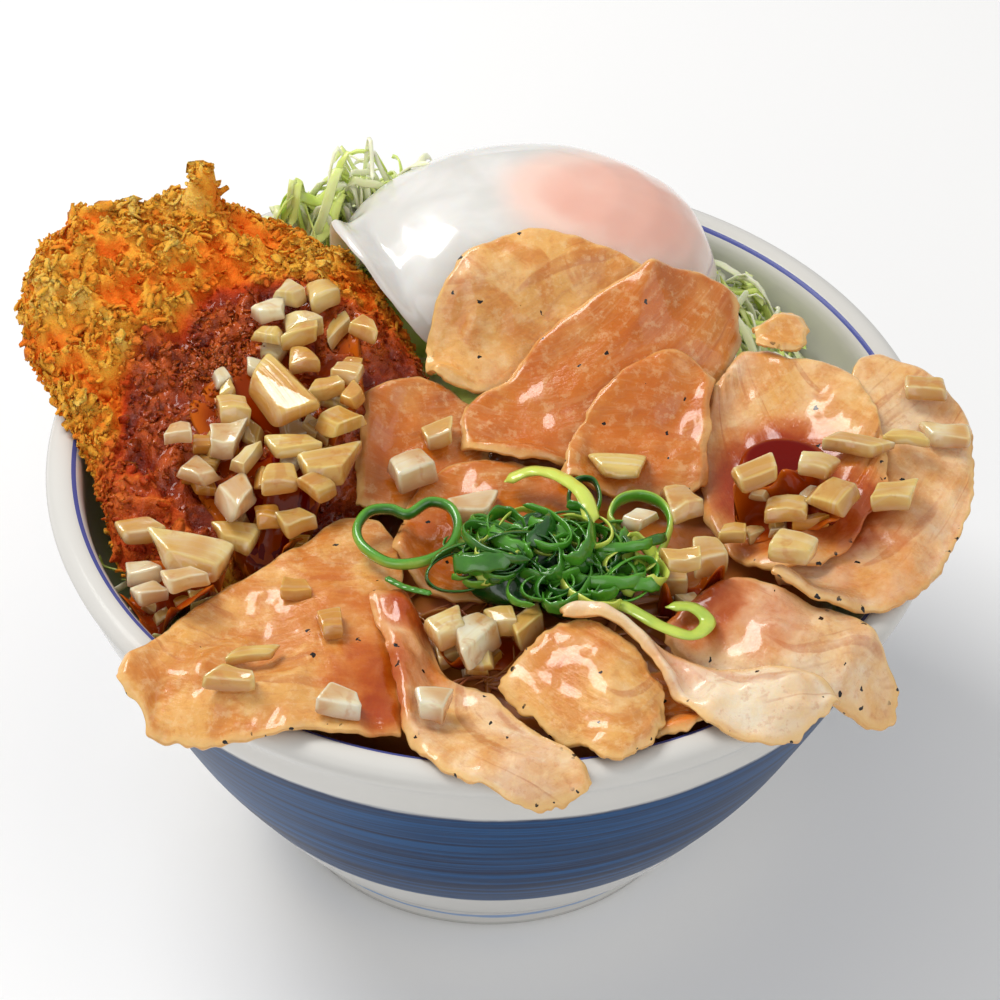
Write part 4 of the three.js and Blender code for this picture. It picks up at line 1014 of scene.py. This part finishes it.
def make_heap(name, pieces, depth_of_film, seed):
    """A heap: a film of sauce over the heap's underside, the onion on it, and small pieces between."""
    bottom = RASTERS[name][1]
    middle = np.argwhere(np.isfinite(bottom)).mean(axis=0) * GRID_STEP - GRID_REACH
    angle = around(FILM_SIDES)
    waves = 0.9 + 0.12 * np.sin(3 * angle + seed) + 0.06 * np.sin(7 * angle)
    reach = outline_radius(bottom, middle, angle) * waves
    share = np.concatenate([np.linspace(0, 1, FILM_RINGS), np.linspace(1, 0, 8)[1:]])[:, None]
    is_top = (np.arange(len(share)) < FILM_RINGS)[:, None]
    x, y = middle[0] + share * reach * np.cos(angle), middle[1] + share * reach * np.sin(angle)
    ground = surface(bottom, 6)
    floor = height_at(ground, x, y)
    rough = 0.7 * value_noise(stacked(x, y, seed), 3, 51)
    raised = depth_of_film * (1 - share ** 4) + rough
    z = floor + np.where(is_top, raised - FILM_SINK, -FILM_FOOT_SINK)
    depth = np.where(is_top, 0.75 * (1 - share ** 3), 1.0) + 0 * x
    film = stacked(x, y, z), grid_faces(len(share), FILM_SIDES, True), {"depth": depth}
    new_piece(name.replace("onion_heap", "sauce_under"), "sauce", film)
    parts = onion_parts(pieces, top_over(name), seed)
    random = np.random.default_rng(seed)
    small = []
    for _ in range(int(1.1 * len(pieces)) + 2):
        far, way = 0.95 * math.sqrt(random.uniform(0, 1)), random.integers(0, FILM_SIDES)
        form = [random.uniform(low, high) for low, high in SMALL_ONION]
        small.append((middle[0] + far * reach[way] * math.cos(angle[way]),
                      middle[1] + far * reach[way] * math.sin(angle[way]), *form))
    parts += onion_parts(small, lambda x, y: float(height_at(ground, x, y)) + SMALL_ONION_RISE, seed + 400)
    new_piece(name.replace("onion_heap", "diced_onion"), "onion", joined(parts), [name])


def lie_of(name, x, y):
    """How a small solid lies: the plane fitted by least squares to the middle between its top and bottom."""
    top, bottom = RASTERS[name]
    cells = np.argwhere(np.isfinite(top))
    plan = cells * GRID_STEP - GRID_REACH - np.array([x, y])
    middle = (top[tuple(cells.T)] + bottom[tuple(cells.T)]) / 2
    fit = np.linalg.lstsq(np.column_stack([np.ones(len(plan)), plan]), middle, rcond=None)[0]
    return fit[0] - ONION_SINK, *np.clip(fit[1:], -0.6, 0.6)


def make_loose_onions():
    """Each loose piece of onion over its own solid."""
    for number, piece in enumerate(LOOSE_ONIONS):
        name = f"onion_{number + 1:02d}"
        shape = placed_onion(piece, 300 + 7 * number, lie_of(name, piece[0], piece[1]))
        new_piece(f"onion_piece_{number + 1:02d}", "onion", shape, [name])


POOL_MIDDLE = (56, -9)


def make_pool():
    """The sauce standing in the cupped slice: flat, with its rim drawn down to the meat."""
    points, faces, _, near, is_top = closed_dome(*RASTERS["sauce_pool"], POOL_MIDDLE, 25, 72, None, 2.0)
    depth = np.where(is_top, 0.35 + 0.65 * near, 1.0)
    new_piece("standing_sauce", "sauce", (points, faces, {"depth": depth}), ["sauce_pool"])


BAND_SIDES = 8


def carried_band(path, normal, width, thickness, closed, ridge=0.12):
    """A leaf-like band: an eight-sided flat section carried along a path, its width along normal.

    The section is an ellipse of the two half sizes, and a ridge wave runs along it. An open band narrows
    to its ends, and both ends are shut.
    """
    count = len(path)
    ahead = unit(np.roll(path, -1, 0) - np.roll(path, 1, 0) if closed else np.gradient(path, axis=0))
    side = unit(np.cross(ahead, normal))
    up = np.cross(side, ahead)
    turn = around(BAND_SIDES)
    share = np.linspace(0, 1, count)
    taper = 1.0 if closed else smooth_rise(-0.01, 0.06, share) * smooth_rise(1.01, 0.94, share)
    high = 0.5 * width * taper * (1 + ridge * np.sin(40 * share))
    wide = 0.5 * thickness * np.maximum(taper, 0.2) * np.ones(count)
    points = (path[:, None] + up[:, None] * (high[:, None] * np.sin(turn))[..., None]
              + side[:, None] * (wide[:, None] * np.cos(turn))[..., None])
    if closed:
        return points.reshape(-1, 3), grid_faces(count + 1, BAND_SIDES, True) % (BAND_SIDES * count)
    end = np.array([[0, 1, 2, 3], [0, 3, 4, 7], [4, 5, 6, 7]])
    faces = np.vstack([grid_faces(count, BAND_SIDES, True), end[:, ::-1], end + BAND_SIDES * (count - 1)])
    return points.reshape(-1, 3), faces


HEART = [(0, 5), (-3.5, 6.2), (-7.5, 5.4), (-9.6, 1), (-8, -3.5), (-3, -7), (3, -6.5), (8, -3), (9.6, 2.5),
         (8, 7), (4, 8.2)]
OVAL = [(3, 0), (2, 3.6), (0, 4.4), (-2, 3.4), (-3, 0), (-2, -3.4), (0, -4.2), (2, -3.6)]
HOOK_RING = [(6, 1), (4.5, 6), (0, 8), (-4, 6.5), (-5.5, 2.5), (-3, -1), (-1, -5.5), (3, -6.5)]

# Rings: outline, middle, height, wall, tilt and tone. Strips: curve, width, thickness and tone
RINGS = {
    "green_onion_heart": (HEART, (-16.2, -31.8), 2.4, 1.9, 0.12, 0.42),
    "green_onion_small_ring": (OVAL, (17.5, -18.5), 1.8, 0.9, 0.3, 0.25),
    "green_onion_light_ring": (HOOK_RING, (28, -27), 3.2, 1.3, 0.25, 0.75),
}
STRIPS = {
    "green_onion_yellow_strip": ([(2, -16, -4), (7, -15, -2), (12, -18, 0), (17, -25, 2), (19, -33, 2)],
                                 3.4, 1.5, 0.95),
    "green_onion_hook": ([(18, -46.5, 0), (25, -48, 0.6), (32, -53, 0.6), (38, -55, 0.3), (41, -51, 0),
                          (38, -47.5, 0.3), (33, -48, 0.6)], 3.2, 1.3, 0.85),
    "green_onion_thread": ([(-20, -42.5, 0), (-16, -45, 0), (-11, -46.5, 0)], 1.6, 0.9, 0.3),
}
RING_STEPS = 72


def make_rings():
    """Rings of green onion: bands standing on edge round their outlines, paler on one side."""
    for name, (outline, middle, height, wall, tilt, tone) in RINGS.items():
        plan = spaced_curve(outline, RING_STEPS, closed=True)
        path = stacked(plan[:, 0] + middle[0], plan[:, 1] * math.cos(tilt) + middle[1],
                       tilt * plan[:, 1] + middle_height(name))
        points, faces = carried_band(path, np.array([0, 0, 1.0]), height, wall, True, 0.05)
        shade = tone + 0.3 * np.tile(np.cos(around(BAND_SIDES)), RING_STEPS)
        shape = points, faces, {"tone": shade}
        new_piece(name.replace("green_onion", "cut_green"), "green_onion", shape, [name])


def make_strips():
    """Strips of green onion along their curves, at their solids' heights."""
    for name, (knots, width, thickness, tone) in STRIPS.items():
        path = spaced_curve(knots, 60)
        path[:, 2] += middle_height(name) - (path[:, 2].min() + path[:, 2].max()) / 2
        points, faces = carried_band(path, np.array([0, 0.25, 1.0]), thickness, width, False)
        shape = points, faces, {"tone": np.full(len(points), tone)}
        new_piece(name.replace("green_onion", "cut_green"), "green_onion", shape, [name])


CORE_MIDDLE = (11, -37)
CORE_TONE = 0.02
TANGLE_MIDDLE = (12, -37)
TANGLE_REACH = (19, 8.5)
TANGLE_LEAVES = 84
CORE_DEPTH = 6.5
LEAF_STEPS = 34
LEAF_RADIUS = (2.4, 6.0)
LEAF_SWEEP = (3.4, 6.0)
LEAF_TILT = (-1.0, 1.0)
LEAF_RISE = (0, 2.4)
LEAF_WIDTH = (1.8, 4.0)
LEAF_THICKNESS = 0.6
LEAF_TONES = [0.02, 0.1, 0.2, 0.3, 0.45, 0.8]
LEAF_SHARES = [0.12, 0.18, 0.2, 0.2, 0.18, 0.12]


def make_tangle():
    """The tangle: a dark core, and many curled leaves over it, each an arc of a tilted, stretched circle."""
    name = "green_onion_tangle"
    top, bottom = RASTERS[name]
    core = np.minimum(surface(top), surface(bottom) + CORE_DEPTH)
    shape = np.where(np.isfinite(top), core, -np.inf)
    points, faces, _, _, _ = closed_dome(shape, bottom, CORE_MIDDLE, 19, 60, ripples((0.8, 3, 61)), 3.0)
    fields = {"tone": np.full(points.shape[:2], CORE_TONE)}
    new_piece("tangle_core", "green_onion", (points, faces, fields), [name])
    random = np.random.default_rng(62)
    parts = []
    for _ in range(TANGLE_LEAVES):
        angle, share = random.uniform(0, 2 * np.pi), math.sqrt(random.uniform(0, 1))
        x = TANGLE_MIDDLE[0] + TANGLE_REACH[0] * share * math.cos(angle)
        y = TANGLE_MIDDLE[1] + TANGLE_REACH[1] * share * math.sin(angle)
        radius = random.uniform(*LEAF_RADIUS)
        sweep = random.uniform(*LEAF_SWEEP)
        start = random.uniform(0, 2 * np.pi)
        t = np.linspace(0, sweep, LEAF_STEPS)
        grow = radius * (1 + 0.1 * t)
        loop = stacked(grow * np.cos(t + start), 0.62 * grow * np.sin(t + start), 0.35 * t)
        tilt, heading = random.uniform(*LEAF_TILT), random.uniform(0, 2 * np.pi)
        turn = np.array(Matrix.Rotation(heading, 3, "Z") @ Matrix.Rotation(tilt, 3, "X"))
        loop = loop @ turn.T * (1, 1, 0.7)
        place = np.array([x, y, float(height_at(core, x, y)) + 1.2 + random.uniform(*LEAF_RISE)])
        width = random.uniform(*LEAF_WIDTH)
        leaf, leaf_faces = carried_band(loop + place, turn[:, 2], width, LEAF_THICKNESS, False)
        tone = random.choice(LEAF_TONES, p=LEAF_SHARES) + 0.12
        parts.append((leaf, leaf_faces, {"tone": np.full(len(leaf), tone)}))
    new_piece("tangle_leaves", "green_onion", joined(parts))


# Shreds of cabbage: middle, reach, count and rise
CABBAGE_PATCHES = [
    ((-31, 62), (17, 9), 150, 17), ((-23, 66), (10, 5), 46, 27), ((47, 47), (14, 11), 170, 12),
    ((55, 31), (9, 8), 80, 8), ((-50, -46), (9, 6), 30, 1.5), ((8, 72), (30, 5), 90, 3),
    ((-24, 20), (8, 6), 26, 6), ((-70, -34), (6, 12), 24, 1), ((0, -50), (30, 14), 60, 0.5),
    ((-70, 20), (8, 20), 30, 0.5),
]
SHRED_LIMIT = 74
SHRED_STEPS = 14
SHRED_LENGTH = (9, 24)
SHRED_WIDTH = (0.8, 2.4)
SHRED_BEND = (-0.9, 0.9)
SHRED_TONE = (-0.25, 0.75)
SHRED_THICKNESS = 0.5
WALL_LIMIT = 78.5


def bed_stain(x, y):
    """The middle of the bed, where sauce has run down between the slices."""
    return smooth_rise(1.1, 0.8, oval(x, y, (14, -40), (58, 60)))


def make_cabbage():
    """A bed under everything and shreds over it: thin bands along sagging, turning curves."""
    top, bottom = RASTERS["cabbage_bed"]
    core = surface(top, 10) - 0.6
    shape = np.where(np.isfinite(top), core, -np.inf)
    points, faces, _, _, _ = closed_dome(shape, bottom, (0, 0), 61, 150, ripples((0.7, 3.5, 71)), 1.5)
    stain = bed_stain(points[..., 0], points[..., 1])
    fields = {"tone": 0.45 + 0.4 * value_noise(points, 4, 72), "stain": stain}
    new_piece("cabbage_core", "cabbage", (points, faces, fields), ["cabbage_bed"])
    random = np.random.default_rng(73)
    parts = []
    for middle, reach, count, rise in CABBAGE_PATCHES:
        for _ in range(count):
            x, y = middle[0] + reach[0] * random.uniform(-1, 1), middle[1] + reach[1] * random.uniform(-1, 1)
            limit = min(1.0, SHRED_LIMIT / math.hypot(x, y))
            heading = random.uniform(0, 2 * np.pi)
            length = random.uniform(*SHRED_LENGTH)
            t = np.linspace(-0.5, 0.5, SHRED_STEPS)
            bend = random.uniform(*SHRED_BEND)
            px = x * limit + length * (t * math.cos(heading) - bend * (t ** 2) * math.sin(heading))
            py = y * limit + length * (t * math.sin(heading) + bend * (t ** 2) * math.cos(heading))
            inward = np.minimum(1, WALL_LIMIT / np.maximum(np.hypot(px, py), 1))
            px, py = px * inward, py * inward
            lift = rise * random.uniform(0.1, 1.0)
            ground = height_at(core, px, py)
            pz = ground + 0.6 + lift * (1 - (2 * t + random.uniform(-0.7, 0.7)) ** 2 * 0.6)
            path = stacked(px, py, np.maximum(pz, ground + 0.2))
            normal, width = random.normal(size=3), random.uniform(*SHRED_WIDTH)
            band, band_faces = carried_band(path, normal, width, SHRED_THICKNESS, False, 0.06)
            tone = np.full(len(band), random.uniform(*SHRED_TONE))
            parts.append((band, band_faces, {"tone": tone, "stain": bed_stain(band[:, 0], band[:, 1])}))
    new_piece("cabbage_shreds", "cabbage", joined(parts))


def make_food():
    """Everything in the bowl, from the cabbage up."""
    make_cabbage()
    make_egg()
    make_cutlet()
    for number, (name, (near, far, tone)) in enumerate(SLICES.items()):
        make_slice(name, near, far, tone, number)
    make_pool()
    for number, (name, pieces) in enumerate(HEAPS.items()):
        depth = FILM_DEPTH_ON_CRUST if name == "onion_heap_cutlet" else FILM_DEPTH
        make_heap(name, pieces, depth, 100 + 20 * number)
    make_loose_onions()
    make_tangle()
    make_rings()
    make_strips()


# The studio

FLOOR_HALF = 3000.0
LIGHT_AIM = 0.08


def make_floor():
    """A wide pale floor at the bowl's foot."""
    corners = np.array([[-1, -1, 0], [1, -1, 0], [1, 1, 0], [-1, 1, 0]]) * FLOOR_HALF
    mesh = bpy.data.meshes.new("floor")
    mesh.from_pydata((corners * MM + AXIS).tolist(), [], [(0, 1, 2, 3)])
    floor = bpy.data.objects.new("floor", mesh)
    bpy.context.scene.collection.objects.link(floor)
    mesh.materials.append(Finish("pale_floor").shaded(Base_Color=(0.92, 0.92, 0.92, 1.0), Roughness=0.7))


def make_light(name, place, size, power, warmth=(1, 1, 1)):
    """A square soft light at a place in millimetres, turned to the bowl."""
    data = bpy.data.lights.new(name, "AREA")
    data.size = size
    data.energy = power
    data.color = warmth
    light = bpy.data.objects.new(name, data)
    bpy.context.scene.collection.objects.link(light)
    light.location = Vector(np.array(place) * MM + AXIS)
    aim = Vector(AXIS) + Vector((0, 0, LIGHT_AIM)) - light.location
    light.rotation_euler = aim.to_track_quat("-Z", "Y").to_euler()


def make_studio():
    """One large soft light above and behind on the left, a fill from the right, and a pale sky."""
    make_light("key", (-460, 260, 860), 0.42, 6.2, (1.0, 0.985, 0.96))
    make_light("fill", (700, -450, 700), 0.7, 1.6, (0.97, 0.985, 1.0))
    make_light("front", (-300, -900, 500), 0.6, 1.5)
    world = bpy.data.worlds.new("studio")
    bpy.context.scene.world = world
    world.use_nodes = True
    world.node_tree.nodes["Background"].inputs["Color"].default_value = (1, 1, 1, 1)
    world.node_tree.nodes["Background"].inputs["Strength"].default_value = 0.5


def make_camera():
    """The photograph's view: a long lens looking down at the bowl, rolled a little."""
    data = bpy.data.cameras.new("photo_view")
    data.lens = CAMERA_LENS
    data.sensor_width = 36.0
    data.sensor_fit = "HORIZONTAL"
    camera = bpy.data.objects.new("photo_view", data)
    bpy.context.scene.collection.objects.link(camera)
    forward = Vector((0, math.cos(CAMERA_DIP), -math.sin(CAMERA_DIP)))
    right = Vector((1, 0, 0))
    up = right.cross(forward)
    right, up = (right * math.cos(CAMERA_ROLL) + up * math.sin(CAMERA_ROLL),
                 up * math.cos(CAMERA_ROLL) - right * math.sin(CAMERA_ROLL))
    turn = Matrix((right, up, -forward)).transposed()
    camera.matrix_world = Matrix.Translation(Vector(np.array(CAMERA_PLACE) * MM + AXIS)) @ turn.to_4x4()
    bpy.context.scene.camera = camera


bpy.context.scene.view_settings.view_transform = "Standard"
make_camera()
make_bowl()
make_food()
make_floor()
make_studio()
